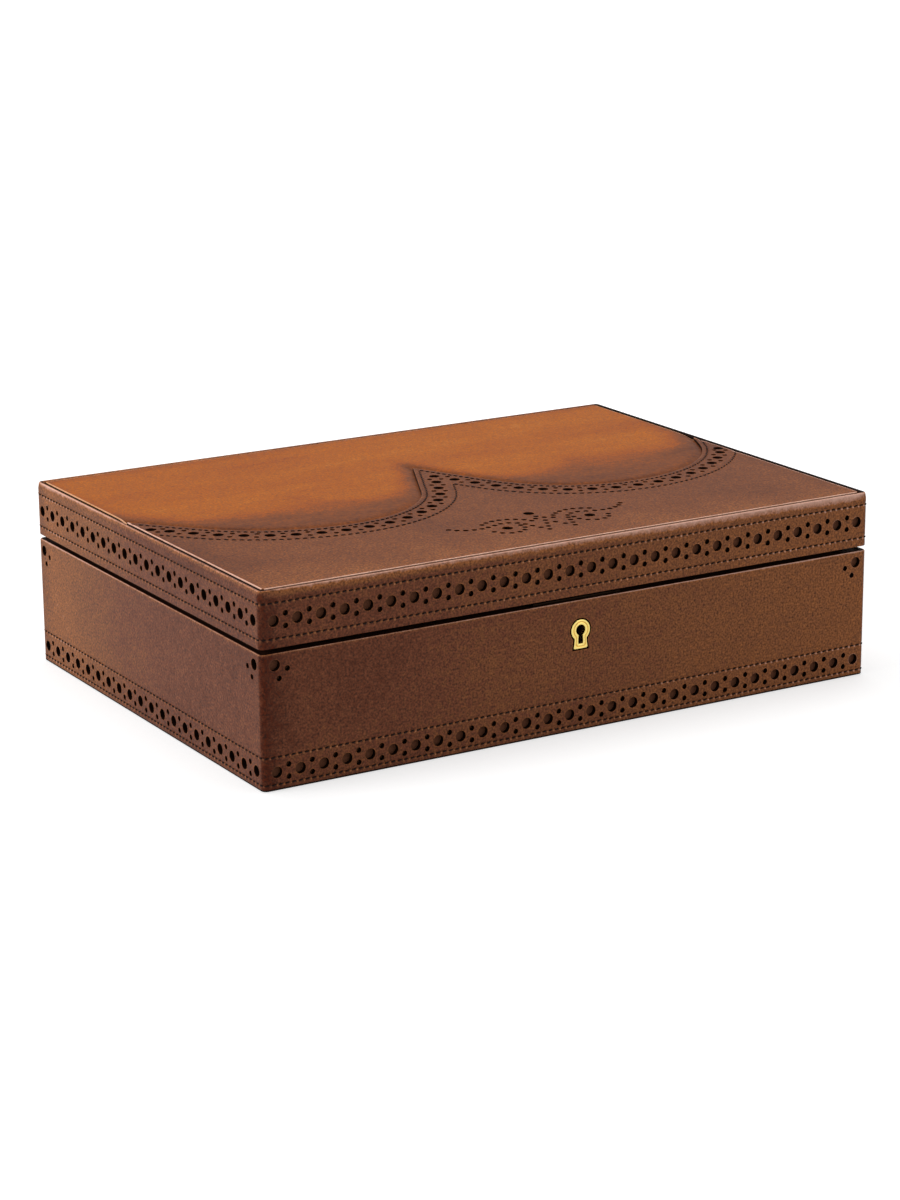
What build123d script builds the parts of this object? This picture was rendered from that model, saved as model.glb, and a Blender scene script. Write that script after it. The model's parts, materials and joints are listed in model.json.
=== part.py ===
from build123d import *

import os
from math import asin, atan2, cos, degrees, hypot, radians, sin

os.makedirs("parts", exist_ok=True)

# Driving dimensions, in millimetres. The box body without its hinge barrels.
box_width = 361.0
box_depth = 259.0
box_height = 100.0
corner_radius = 3.0
base_top = 68.7
lid_bottom = 71.1

# Layers of the walls, from the outside in.
leather = 2.6
interlining = 0.5
base_wood = 6.4
lid_wood = 4.9
collar_board = 2.0
collar_rise = 5.8
lid_suede = 0.8
edge_set_back = 0.5
top_set_back = 3.0
top_leather = 1.5
panel_inset = 3.7
rim_round = 1.8
cover_round = 0.7
inlay_play = 0.5
inlay_proud = 0.3

# Layers of the base, from the surface that it rests on.
sole_thickness = 1.5
sole_inset = 3.0
cover_lift = 0.2
floor_thickness = 6.0
floor_suede = 1.2
top_board = 6.0

# Brogue perforations: rows of round punches on all four sides, cut as eight flats.
punch_radius = 2.85
punch_flats = 8
front_count, front_pitch = 28, 12.82
side_count, side_pitch = 20, 12.9
lid_row_z = 84.8
base_row_z = 9.4
corner_punch_z = 62.9

# The W of the wing cap. Each wing is a straight flank, an inner arc and an outer arc.
cap_axis = 5.8
apex_y = 24.0
wing_low_x, wing_low_y = 86.0, -50.6
inner_radius = 80.0
outer_radius = {-1: 102.0, 1: 96.0}
outer_turn = {-1: 50.0, 1: 66.0}
cap_margin = 9.9
tan_overlap = 5.0
wing_pitch = 13.15
wing_row_end = {-1: 233.8, 1: 220.6}
wing_side_margin = 7.6
medallion_radius = 2.9
medallion_top_y = -71.5
medallion_side_x, medallion_side_y = 24.8, -90.8

# Brass butt hinges with their barrels behind the box.
hinge_x = 110.0
hinge_width = 40.0
hinge_play = 0.2
leaf_depth = 7.6
leaf_thickness = 1.2
leaf_screw_depth = 5.0
leaf_screw_spacing = 13.5
barrel_radius = 2.4
barrel_out = 2.7
pin_radius = 1.1
pin_play = 0.05
knuckle_count = 3
knuckle_gap = 0.2

# Wood screws with countersunk heads, their round forms cut as eight flats.
screw_head_radius, screw_shank_radius = 1.9, 0.95
screw_length = 8.0
screw_flats = 8

# Box lock with a sliding bolt, and the strike on the lid.
keyhole_z = 53.1
keyhole_radius = 2.7
keyhole_foot_z = 46.0
lock_half_width = 18.0
lock_low_z = 42.0
lock_depth = 4.1
lock_wall = 0.8
lock_play = 0.1
lock_post_radius = 0.9
lock_screw_x, lock_screw_depth = 22.5, 5.0
plate_thickness = 1.2
plate_border = 3.0
flange_half = 26.0
bolt_thickness = 2.6
bolt_play = 0.4
bolt_travel = 3.0
bar_ends = (-13.0, 15.8)
bar_low, bar_high = 57.5, 60.5
talon_ends, talon_depth = (-0.5, 3.5), 1.2
finger_low, finger_high = 63.7, 65.9
finger_offset, finger_width = 9.6, 2.2
hook_legs = (-14.0, 4.0)
hook_thickness, hook_width = 2.4, 3.0
hook_play = 0.5
toe_length = 6.0
toe_low, toe_high = 61.3, 63.3

# The compartments and the watch cushions.
divider_thickness = 3.0
divider_top = 62.0
columns = 5
watch_row_depth = 82.0
cushion_size = (61.0, 77.0, 45.0)

# Places worked out from the dimensions above. The origin is under the centre of the whole.
mid_y = -(barrel_out + barrel_radius) / 2
front_y = mid_y - box_depth / 2
back_y = mid_y + box_depth / 2
axis_y = back_y + barrel_out
seam_z = (base_top + lid_bottom) / 2
wood_inset = leather + interlining
base_inner = wood_inset + base_wood
lid_inner = wood_inset + lid_wood
collar_inner = base_inner + collar_board
base_wood_top = base_top - edge_set_back
lid_wood_bottom = lid_bottom + edge_set_back
board_top = box_height - top_set_back
sheet_top = board_top + top_leather
floor_top = sole_thickness + floor_thickness
inside_floor = floor_top + floor_suede
wood_back_y = front_y + base_inner
plate_front_y = wood_back_y - plate_thickness
lock_front_y = plate_front_y - lock_depth
bolt_y = plate_front_y - bolt_play - bolt_thickness / 2
plate_half = lock_half_width + plate_border
plate_low = lock_low_z - plate_border
flange_front_y = front_y + wood_inset + lock_wall / 2
lock_screw_y = front_y + lock_screw_depth


def save(piece, name):
    """Label a finished piece and write it to its own file."""
    piece.part.label = name
    export_step(piece.part, f"parts/{name}.step")


def level(z):
    """The level plane at height z, centred on the box body."""
    return Plane((0, mid_y, z))


def outline(inset, mode=Mode.ADD):
    """The plan of the box body with its round corners, moved in by inset."""
    size_x, size_y = box_width - 2 * inset, box_depth - 2 * inset
    if corner_radius > inset:
        RectangleRounded(size_x, size_y, corner_radius - inset, mode=mode)
    else:
        Rectangle(size_x, size_y, mode=mode)


def wall_ring(outer, inner, low, high):
    """A closed wall between two insets of the plan, from one height to another."""
    with BuildPart() as ring:
        with BuildSketch(level(low)):
            outline(outer)
            outline(inner, mode=Mode.SUBTRACT)
        extrude(amount=high - low)
    return ring


def rounded_ring(low, high, radius):
    """The leather all round the box, with its upper outer edge rounded."""
    with BuildPart() as ring:
        with BuildSketch(level(low)):
            outline(0)
        extrude(amount=high - low)
        fillet(ring.edges().group_by(Axis.Z)[-1], radius)
        with BuildSketch(level(low)):
            outline(leather)
        extrude(amount=high - low, mode=Mode.SUBTRACT)
    return ring


def mitre_wedge(side, low, high):
    """Keep the part of the current ring that lies on one side, cut at 45 degrees."""
    half_x, half_y, deep = box_width / 2, box_depth / 2, 40.0
    corners = {
        "front": [(-half_x, -half_y), (half_x, -half_y)],
        "right": [(half_x, -half_y), (half_x, half_y)],
        "back": [(half_x, half_y), (-half_x, half_y)],
        "left": [(-half_x, half_y), (-half_x, -half_y)],
    }[side]
    inner = [(x - deep * x / abs(x), y - deep * y / abs(y)) for x, y in corners]
    with BuildSketch(level(low)) as wedge:
        with BuildLine():
            Polyline(corners[0], corners[1], inner[1], inner[0], close=True)
        make_face()
    extrude(wedge.sketch, amount=high - low, mode=Mode.INTERSECT)


def mitred_wall(side, outer, inner, low, high):
    """One straight wall of a mitred frame."""
    with BuildPart() as wall:
        with BuildSketch(level(low)):
            outline(outer)
            outline(inner, mode=Mode.SUBTRACT)
        extrude(amount=high - low)
        mitre_wedge(side, low, high)
    return wall


def punch_row(height, ends_only=False):
    """Cut one row of large punches, or only its end ones, through all four sides."""
    front = (front_pitch * (front_count - 1), 2) if ends_only else (front_pitch, front_count)
    side = (side_pitch * (side_count - 1), 2) if ends_only else (side_pitch, side_count)
    with BuildSketch(Plane.XZ) as front_row:
        with Locations((0, height)):
            with GridLocations(front[0], 1, front[1], 1):
                RegularPolygon(punch_radius, punch_flats)
    extrude(front_row.sketch, amount=box_depth, both=True, mode=Mode.SUBTRACT)
    with BuildSketch(Plane.YZ) as side_row:
        with Locations((mid_y, height)):
            with GridLocations(side[0], 1, side[1], 1):
                RegularPolygon(punch_radius, punch_flats)
    extrude(side_row.sketch, amount=box_width, both=True, mode=Mode.SUBTRACT)


def box_between(x, y, z, mode=Mode.ADD):
    """A block from its two ends along each axis."""
    with BuildSketch(Plane(((x[0] + x[1]) / 2, (y[0] + y[1]) / 2, z[0]))) as foot:
        Rectangle(x[1] - x[0], y[1] - y[0])
    extrude(foot.sketch, amount=z[1] - z[0], mode=mode)


def flank_angle():
    """Slope of the straight flanks, in degrees below level, tangent to the inner arc."""
    rise = wing_low_y + inner_radius - apex_y
    reach = hypot(wing_low_x, rise)
    return degrees(asin(inner_radius / reach) - atan2(rise, wing_low_x))


def flank_length():
    """Length of the straight flank from the apex to the inner arc."""
    reach = hypot(wing_low_x, wing_low_y + inner_radius - apex_y)
    return (reach**2 - inner_radius**2) ** 0.5


def wing_edge(move):
    """Add the W moved towards the back by move, and return its two far ends."""
    flank = flank_angle()
    apex = (cap_axis, apex_y + move / cos(radians(flank)))
    ends = []
    for side in (-1, 1):
        low_x = cap_axis + side * wing_low_x
        inner_centre = (low_x, wing_low_y + inner_radius)
        outer_centre = (low_x, wing_low_y + outer_radius[side])
        near, far = inner_radius - move, outer_radius[side] - move
        turn = outer_turn[side]
        first = (
            low_x - side * near * sin(radians(flank)),
            inner_centre[1] - near * cos(radians(flank)),
        )
        last = (
            low_x + side * far * sin(radians(turn)),
            outer_centre[1] - far * cos(radians(turn)),
        )
        run = 60.0
        end = (last[0] + side * run * cos(radians(turn)), last[1] + run * sin(radians(turn)))
        Line(apex, first)
        CenterArc(inner_centre, near, -90 - side * flank, side * flank)
        CenterArc(outer_centre, far, -90, side * turn)
        Line(last, end)
        ends.append(end)
    return ends


def wing_point(side, travel):
    """The point of the punch row at an arc length from the apex."""
    flank = radians(flank_angle())
    turn = radians(outer_turn[side])
    straight, outer = flank_length(), outer_radius[side]
    inner_arc, outer_arc = inner_radius * flank, outer * turn
    if travel < straight:
        x, y = travel * cos(flank), apex_y - travel * sin(flank)
    elif travel < straight + inner_arc:
        angle = (travel - straight) / inner_radius - flank
        x = wing_low_x + inner_radius * sin(angle)
        y = wing_low_y + inner_radius * (1 - cos(angle))
    else:
        beyond = travel - straight - inner_arc
        angle = min(beyond / outer, turn)
        rest = max(beyond - outer_arc, 0)
        x = wing_low_x + outer * sin(angle) + rest * cos(turn)
        y = wing_low_y + outer * (1 - cos(angle)) + rest * sin(turn)
    return (cap_axis + side * x, y)


def wing_row(side):
    """One wing's punches, evenly spaced but for the last one, which is kept off the edge."""
    limit = box_width / 2 - wing_side_margin
    count = int(wing_row_end[side] // wing_pitch)
    travels = [number * wing_pitch for number in range(1, count + 1)] + [wing_row_end[side]]
    points = [wing_point(side, travel) for travel in travels]
    return [(max(-limit, min(limit, x)), y) for x, y in points]


def top_sheet(low, thickness, move, front_side):
    """A leather sheet of the lid's top that ends at the W, on one side of it."""
    with BuildPart() as sheet:
        with BuildSketch(level(low)):
            with BuildLine():
                left, right = wing_edge(move)
                far_y = -box_depth if front_side else box_depth
                Polyline(right, (box_width, right[1]), (box_width, far_y))
                Polyline((box_width, far_y), (-box_width, far_y), (-box_width, left[1]), left)
            make_face()
            outline(panel_inset, mode=Mode.INTERSECT)
        extrude(amount=thickness)
    return sheet


def keyhole(grow, mode=Mode.ADD):
    """The keyhole's round head and flared foot, in the current sketch of the front."""
    half_top, half_foot = 1.1 + grow, 1.5 + grow
    with Locations((0, keyhole_z)):
        Circle(keyhole_radius + grow, mode=mode)
    with BuildLine() as slot:
        Polyline(
            (-half_top, keyhole_z),
            (half_top, keyhole_z),
            (half_foot, keyhole_foot_z - grow),
            (-half_foot, keyhole_foot_z - grow),
            close=True,
        )
    make_face(slot.edges(), mode=mode)


def escutcheon_shape(mode=Mode.ADD):
    """The brass inlay round the keyhole: a round head, a waist and a flared foot."""
    head, waist, foot = 5.6, 3.6, 4.3
    with Locations((0, keyhole_z)):
        Circle(head, mode=mode)
    with BuildLine() as body:
        Polyline((waist, keyhole_z), (-waist, keyhole_z), (-waist, 49.4))
        ThreePointArc((-waist, 49.4), (-3.75, 46.4), (-foot, 43.6))
        ThreePointArc((-foot, 43.6), (0, 43.1), (foot, 43.6))
        ThreePointArc((foot, 43.6), (3.75, 46.4), (waist, 49.4))
        Line((waist, 49.4), (waist, keyhole_z))
    make_face(body.edges(), mode=mode)


def front_plane(depth):
    """The upright plane that looks out of the front, at a depth behind the front face."""
    return Plane((0, front_y + depth, 0), x_dir=(1, 0, 0), z_dir=(0, -1, 0))


def screws(points, up):
    """Countersunk wood screws, heads flush at the points, driven down or up."""
    way = 1 if up else -1
    cone = screw_head_radius - screw_shank_radius
    with BuildPart() as group:
        for point in points:
            head = Plane(point)
            neck = head.offset(way * cone)
            with BuildSketch(head):
                RegularPolygon(screw_head_radius, screw_flats)
            with BuildSketch(neck):
                RegularPolygon(screw_shank_radius, screw_flats)
            loft(ruled=True)
            with BuildSketch(neck):
                RegularPolygon(screw_shank_radius, screw_flats)
            extrude(amount=way * (screw_length - cone))
    return group


def leaf_screw_points(z):
    """The three screws of each hinge leaf at height z, for both hinges."""
    return [
        (side * hinge_x + place * leaf_screw_spacing, back_y - leaf_screw_depth, z)
        for side in (-1, 1)
        for place in (-1, 0, 1)
    ]


def cut_hinge_notches(low, high):
    """Cut the back of the current piece away where the two hinges pass, between two heights."""
    half = hinge_width / 2 + hinge_play
    deep = leather + interlining
    for x in (-hinge_x, hinge_x):
        box_between((x - half, x + half), (back_y - deep, back_y + deep), (low, high), Mode.SUBTRACT)


def hinge_leaf(centre_x, upper, fasteners):
    """One leaf of a butt hinge with its share of the knuckles."""
    low = lid_wood_bottom - leaf_thickness if upper else base_wood_top
    pitch = hinge_width / knuckle_count
    width = pitch - knuckle_gap
    bore = pin_radius + pin_play if upper else pin_radius
    with BuildPart() as leaf:
        left, right = centre_x - hinge_width / 2, centre_x + hinge_width / 2
        box_between((left, right), (back_y - leaf_depth, back_y), (low, low + leaf_thickness))
        for number in range(1 if upper else 0, knuckle_count, 2):
            x = centre_x + (number - (knuckle_count - 1) / 2) * pitch
            ends = (x - width / 2, x + width / 2)
            box_between(ends, (back_y, axis_y), (low, low + leaf_thickness))
            with BuildSketch(Plane((ends[0], axis_y, seam_z), x_dir=(0, 1, 0), z_dir=(1, 0, 0))):
                Circle(barrel_radius)
            extrude(amount=width)
        with BuildSketch(Plane((centre_x, axis_y, seam_z), x_dir=(0, 1, 0), z_dir=(1, 0, 0))):
            Circle(bore)
        extrude(amount=hinge_width, both=True, mode=Mode.SUBTRACT)
        add(fasteners.part, mode=Mode.SUBTRACT)
    return leaf


def hinge_pin(centre_x):
    """The pin of a hinge, with its ends bevelled."""
    bevel = 0.4
    start = centre_x - hinge_width / 2
    with BuildPart() as pin:
        with BuildSketch(Plane((start, axis_y, seam_z), x_dir=(0, 1, 0), z_dir=(1, 0, 0))):
            Circle(pin_radius)
        extrude(amount=hinge_width)
        chamfer(pin.edges().filter_by(GeomType.CIRCLE), bevel)
    return pin


def long_divider(y):
    """A divider along the box with a halving slot from above for each cross divider."""
    half = box_width / 2 - collar_inner
    middle = (inside_floor + divider_top) / 2
    with BuildPart() as divider:
        ends = (y - divider_thickness / 2, y + divider_thickness / 2)
        box_between((-half, half), ends, (inside_floor, divider_top))
        for x in cross_places:
            slot = (x - divider_thickness / 2 - 0.1, x + divider_thickness / 2 + 0.1)
            box_between(slot, (y - 5, y + 5), (middle, divider_top + 1), Mode.SUBTRACT)
    return divider


def cross_divider(x):
    """A divider across the box with a halving slot from below for each long divider."""
    half = box_depth / 2 - collar_inner
    middle = (inside_floor + divider_top) / 2
    with BuildPart() as divider:
        ends = (x - divider_thickness / 2, x + divider_thickness / 2)
        box_between(ends, (mid_y - half, mid_y + half), (inside_floor, divider_top))
        for y in long_places:
            slot = (y - divider_thickness / 2 - 0.1, y + divider_thickness / 2 + 0.1)
            box_between((x - 5, x + 5), slot, (inside_floor - 1, middle), Mode.SUBTRACT)
    return divider


def watch_cushion(x, y):
    """A stuffed watch cushion: a flat oval roll across the box, crowned and drawn in at both ends."""
    length, depth, height = cushion_size
    stations = (-0.5, -0.36, 0.0, 0.36, 0.5)
    shares = (0.78, 0.95, 1.0, 0.95, 0.78)
    middle = inside_floor + height / 2
    with BuildPart() as cushion:
        for station, share in zip(stations, shares):
            plane = Plane((x + station * length, y, middle), x_dir=(0, 1, 0), z_dir=(1, 0, 0))
            with BuildSketch(plane):
                RectangleRounded(depth * share, height * share, 0.44 * height * share)
        loft(ruled=True)
    return cushion


def lid_cushion():
    """The padded panel under the lid's top, crowned downwards."""
    steps = ((0.0, 0.0), (1.2, 2.6), (6.0, 4.4), (22.0, 5.4))
    with BuildPart() as pad:
        for inset, drop in steps:
            size_x = box_width - 2 * (lid_inner + lid_suede + 0.4 + inset)
            size_y = box_depth - 2 * (lid_inner + lid_suede + 0.4 + inset)
            with BuildSketch(level(board_top - top_board - drop)):
                RectangleRounded(size_x, size_y, 3.0)
        loft(ruled=True)
    return pad


# Fasteners come first, because the wood and the brass are bored to take them.
base_hinge_screws = screws(leaf_screw_points(base_wood_top + leaf_thickness), up=False)
lid_hinge_screws = screws(leaf_screw_points(lid_wood_bottom - leaf_thickness), up=True)
lock_screws = screws(
    [(side * lock_screw_x, lock_screw_y, base_wood_top + plate_thickness) for side in (-1, 1)],
    up=False,
)
strike_screws = screws(
    [(side * lock_screw_x, lock_screw_y, lid_wood_bottom - plate_thickness) for side in (-1, 1)],
    up=True,
)

# The sole, the floor and the four mitred walls of the base.
with BuildPart() as sole:
    with BuildSketch(level(0)):
        outline(sole_inset)
    extrude(amount=sole_thickness)

with BuildPart() as base_floor:
    with BuildSketch(level(sole_thickness)):
        Rectangle(box_width - 2 * base_inner, box_depth - 2 * base_inner)
    extrude(amount=floor_thickness)

front_blank = mitred_wall("front", wood_inset, base_inner, sole_thickness, base_wood_top)
with BuildPart() as base_front_wall:
    add(front_blank.part)
    half = lock_half_width + lock_play
    box_between(
        (-half, half),
        (lock_front_y - lock_play, wood_back_y),
        (lock_low_z - lock_play, base_top),
        Mode.SUBTRACT,
    )
    box_between(
        (-plate_half, plate_half),
        (plate_front_y, wood_back_y),
        (plate_low, base_top),
        Mode.SUBTRACT,
    )
    with BuildSketch(front_plane(0)):
        keyhole(0.5)
    extrude(amount=-(lock_front_y - front_y), mode=Mode.SUBTRACT)
    add(lock_screws.part, mode=Mode.SUBTRACT)

back_blank = mitred_wall("back", wood_inset, base_inner, sole_thickness, base_wood_top)
with BuildPart() as base_back_wall:
    add(back_blank.part)
    add(base_hinge_screws.part, mode=Mode.SUBTRACT)

base_left_wall = mitred_wall("left", wood_inset, base_inner, sole_thickness, base_wood_top)
base_right_wall = mitred_wall("right", wood_inset, base_inner, sole_thickness, base_wood_top)

# The leather cover of the base, perforated near its foot and at its upper corners.
cover_blank = rounded_ring(cover_lift, base_top, cover_round)
with BuildPart() as base_cover:
    add(cover_blank.part)
    punch_row(base_row_z)
    punch_row(corner_punch_z, ends_only=True)
    with BuildSketch(front_plane(0)):
        escutcheon_shape()
        offset(amount=inlay_play)
    extrude(amount=-leather, mode=Mode.SUBTRACT)
    cut_hinge_notches(base_wood_top, base_top + cover_round)

lining_blank = wall_ring(leather, wood_inset, sole_thickness, base_wood_top)
with BuildPart() as base_interlining:
    add(lining_blank.part)
    with BuildSketch(front_plane(0)):
        keyhole(0.5)
    extrude(amount=-wood_inset, mode=Mode.SUBTRACT)

# The lining boards stand above the rim as a collar that the lid closes over.
collar_top = base_top + collar_rise
lining = {
    side: mitred_wall(side, base_inner, collar_inner, floor_top, collar_top)
    for side in ("front", "back", "left", "right")
}

with BuildPart() as floor_lining:
    with BuildSketch(level(floor_top)):
        Rectangle(box_width - 2 * collar_inner, box_depth - 2 * collar_inner)
    extrude(amount=floor_suede)

# Halved dividers: two rows of watches in front and one row of open compartments behind.
inside_width = box_width - 2 * collar_inner
inside_depth = box_depth - 2 * collar_inner
column_width = (inside_width - (columns - 1) * divider_thickness) / columns
column_pitch = column_width + divider_thickness
cross_places = [(number - (columns - 2) / 2) * column_pitch for number in range(columns - 1)]
first_row_y = mid_y - inside_depth / 2
long_places = [
    first_row_y + row * (watch_row_depth + divider_thickness) - divider_thickness / 2
    for row in (1, 2)
]
column_places = [(number - (columns - 1) / 2) * column_pitch for number in range(columns)]
row_places = [
    first_row_y + watch_row_depth / 2 + row * (watch_row_depth + divider_thickness)
    for row in (0, 1)
]

# The lock: a case and a plate with its upper flange, round a bolt that slides sideways.
with BuildPart() as lock_case:
    box_between(
        (-lock_half_width, lock_half_width),
        (lock_front_y, plate_front_y),
        (lock_low_z, base_wood_top),
    )
    hollow = lock_half_width - lock_wall
    box_between(
        (-hollow, hollow),
        (lock_front_y + lock_wall, wood_back_y),
        (lock_low_z + lock_wall, base_top),
        Mode.SUBTRACT,
    )
    with BuildSketch(front_plane(0)):
        keyhole(0.2)
    extrude(amount=-(lock_front_y + lock_wall - front_y), mode=Mode.SUBTRACT)

with BuildPart() as lock_plate:
    box_between(
        (-plate_half, plate_half),
        (plate_front_y, wood_back_y),
        (plate_low, base_wood_top),
    )
    box_between(
        (-flange_half, flange_half),
        (flange_front_y, wood_back_y),
        (base_wood_top, base_wood_top + plate_thickness),
    )
    slot_half = hook_thickness / 2 + bolt_play
    for leg in hook_legs:
        box_between(
            (leg - hook_play, leg + toe_length + hook_play),
            (bolt_y - slot_half, bolt_y + slot_half),
            (bar_high, lid_bottom),
            Mode.SUBTRACT,
        )
    post_end_y = lock_front_y + lock_wall + bolt_play
    with BuildSketch(Plane((0, post_end_y, keyhole_z), x_dir=(1, 0, 0), z_dir=(0, 1, 0))):
        Circle(lock_post_radius)
    extrude(amount=plate_front_y - post_end_y)
    add(lock_screws.part, mode=Mode.SUBTRACT)

with BuildPart() as lock_bolt:
    ends_y = (bolt_y - bolt_thickness / 2, bolt_y + bolt_thickness / 2)
    box_between(bar_ends, ends_y, (bar_low, bar_high))
    for leg in hook_legs:
        post = leg + finger_offset
        box_between((post, post + finger_width), ends_y, (bar_high, finger_high))
        reach = (post - bolt_travel, post + finger_width)
        box_between(reach, ends_y, (finger_low, finger_high))
    box_between(talon_ends, ends_y, (bar_low, bar_low + talon_depth), Mode.SUBTRACT)

with BuildPart() as escutcheon:
    with BuildSketch(front_plane(-inlay_proud)):
        escutcheon_shape()
        keyhole(0, mode=Mode.SUBTRACT)
    extrude(amount=-(leather + inlay_proud))

# The lid: four mitred walls and the board let in between them.
front_blank = mitred_wall("front", wood_inset, lid_inner, lid_wood_bottom, board_top)
with BuildPart() as lid_front_wall:
    add(front_blank.part)
    add(strike_screws.part, mode=Mode.SUBTRACT)

back_blank = mitred_wall("back", wood_inset, lid_inner, lid_wood_bottom, board_top)
with BuildPart() as lid_back_wall:
    add(back_blank.part)
    add(lid_hinge_screws.part, mode=Mode.SUBTRACT)

lid_left_wall = mitred_wall("left", wood_inset, lid_inner, lid_wood_bottom, board_top)
lid_right_wall = mitred_wall("right", wood_inset, lid_inner, lid_wood_bottom, board_top)

with BuildPart() as lid_board:
    with BuildSketch(level(board_top - top_board)):
        Rectangle(box_width - 2 * lid_inner, box_depth - 2 * lid_inner)
    extrude(amount=top_board)

# The perforated leather band of the lid, whose cut edge stands as a rim round the top.
band_blank = rounded_ring(lid_bottom, box_height, rim_round)
with BuildPart() as lid_band:
    add(band_blank.part)
    punch_row(lid_row_z)
    cut_hinge_notches(lid_bottom - cover_round, lid_wood_bottom)

lid_interlining = wall_ring(leather, wood_inset, lid_wood_bottom, board_top)
lid_lining = wall_ring(lid_inner, lid_inner + lid_suede, lid_wood_bottom, board_top - top_board)
lid_pad = lid_cushion()

# The top: the rear panel and a dark underlay butt below the cap, which laps over both.
seam_move = cap_margin - tan_overlap
rear_panel = top_sheet(board_top, top_leather, seam_move, front_side=False)
cap_underlay = top_sheet(board_top, top_leather, seam_move, front_side=True)

cap_blank = top_sheet(sheet_top, top_leather, cap_margin, front_side=True)
with BuildPart() as wing_cap:
    add(cap_blank.part)
    with BuildSketch(level(sheet_top)):
        with Locations((cap_axis, apex_y), *wing_row(-1), *wing_row(1)):
            RegularPolygon(punch_radius, punch_flats)
        medallion = [
            (cap_axis, medallion_top_y),
            (cap_axis - medallion_side_x, medallion_side_y),
            (cap_axis + medallion_side_x, medallion_side_y),
        ]
        with Locations(*medallion):
            RegularPolygon(medallion_radius, punch_flats)
    extrude(amount=top_leather, mode=Mode.SUBTRACT)

# The strike plate under the lid's front wall, with two hooks that drop into the lock.
with BuildPart() as strike_plate:
    strike_low = lid_wood_bottom - plate_thickness
    strike_back_y = front_y + lid_inner
    box_between(
        (-flange_half, flange_half),
        (flange_front_y, strike_back_y),
        (strike_low, lid_wood_bottom),
    )
    hook_y = (bolt_y - hook_thickness / 2, bolt_y + hook_thickness / 2)
    for leg in hook_legs:
        box_between((leg, leg + hook_width), hook_y, (toe_low, strike_low))
        box_between((leg, leg + toe_length), hook_y, (toe_low, toe_high))
    add(strike_screws.part, mode=Mode.SUBTRACT)

single_pieces = {
    "sole": sole,
    "base_floor": base_floor,
    "base_front_wall": base_front_wall,
    "base_back_wall": base_back_wall,
    "base_left_wall": base_left_wall,
    "base_right_wall": base_right_wall,
    "base_cover": base_cover,
    "base_interlining": base_interlining,
    "floor_lining": floor_lining,
    "lock_case": lock_case,
    "lock_plate": lock_plate,
    "lock_bolt": lock_bolt,
    "lock_screws": lock_screws,
    "escutcheon": escutcheon,
    "base_hinge_screws": base_hinge_screws,
    "lid_front_wall": lid_front_wall,
    "lid_back_wall": lid_back_wall,
    "lid_left_wall": lid_left_wall,
    "lid_right_wall": lid_right_wall,
    "lid_board": lid_board,
    "lid_band": lid_band,
    "lid_interlining": lid_interlining,
    "lid_lining": lid_lining,
    "lid_pad": lid_pad,
    "rear_panel": rear_panel,
    "cap_underlay": cap_underlay,
    "wing_cap": wing_cap,
    "strike_plate": strike_plate,
    "strike_screws": strike_screws,
    "lid_hinge_screws": lid_hinge_screws,
}
for name, piece in single_pieces.items():
    save(piece, name)

for side, panel in lining.items():
    save(panel, f"{side}_lining")

for name, x in (("left", -hinge_x), ("right", hinge_x)):
    save(hinge_leaf(x, False, base_hinge_screws), f"{name}_hinge_base_leaf")
    save(hinge_leaf(x, True, lid_hinge_screws), f"{name}_hinge_lid_leaf")
    save(hinge_pin(x), f"{name}_hinge_pin")

for name, y in zip(("front", "rear"), long_places):
    save(long_divider(y), f"{name}_long_divider")

for number, x in enumerate(cross_places, start=1):
    save(cross_divider(x), f"cross_divider_{number}")

for row, y in zip(("front", "middle"), row_places):
    for number, x in enumerate(column_places, start=1):
        save(watch_cushion(x, y), f"{row}_watch_cushion_{number}")
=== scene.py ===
"""Finish of a watch box in brogue leather: punched and stitched calf over a wooden body."""
import json

import bpy
import numpy as np
from mathutils import Matrix, Vector
from mathutils.geometry import delaunay_2d_cdt


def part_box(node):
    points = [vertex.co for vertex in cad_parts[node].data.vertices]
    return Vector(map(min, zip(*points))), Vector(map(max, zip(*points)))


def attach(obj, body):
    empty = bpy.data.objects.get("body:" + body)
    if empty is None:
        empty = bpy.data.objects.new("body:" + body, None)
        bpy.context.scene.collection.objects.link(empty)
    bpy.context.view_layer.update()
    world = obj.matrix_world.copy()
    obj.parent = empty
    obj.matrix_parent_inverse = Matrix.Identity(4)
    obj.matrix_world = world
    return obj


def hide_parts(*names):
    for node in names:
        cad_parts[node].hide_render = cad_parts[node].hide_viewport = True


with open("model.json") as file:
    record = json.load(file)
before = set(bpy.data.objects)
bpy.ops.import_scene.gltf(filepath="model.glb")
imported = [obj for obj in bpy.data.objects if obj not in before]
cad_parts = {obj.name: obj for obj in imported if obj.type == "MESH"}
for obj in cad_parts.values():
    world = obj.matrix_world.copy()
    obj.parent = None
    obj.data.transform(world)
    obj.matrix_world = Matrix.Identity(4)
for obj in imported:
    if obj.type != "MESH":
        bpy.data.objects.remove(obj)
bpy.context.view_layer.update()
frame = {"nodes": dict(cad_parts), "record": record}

MM = 0.001
tiny = 1e-6


def node_box(name):
    """Lowest and highest corner of a CAD node, in millimetres."""
    low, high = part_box(name)
    return np.array(low) / MM, np.array(high) / MM


def bell(x, width):
    """A bump of height 1 at 0 that falls to 1/e at width."""
    return np.exp(-((x / width) ** 2))


def fade(distance, reach):
    """1 up to a distance of 0, then an exponential fall over reach."""
    return np.exp(-np.maximum(distance, 0) / reach)


def together(*axes):
    """Points from one array or number for each axis."""
    return np.stack(np.broadcast_arrays(*axes), -1)


def pairs(first, second):
    """Every first value with every second one, as two grids in row order."""
    return np.meshgrid(first, second, indexing="ij")


def lattice(first, second):
    """Points in plan at every pair of a first and a second coordinate."""
    return np.stack(np.meshgrid(first, second), -1).reshape(-1, 2)


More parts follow.
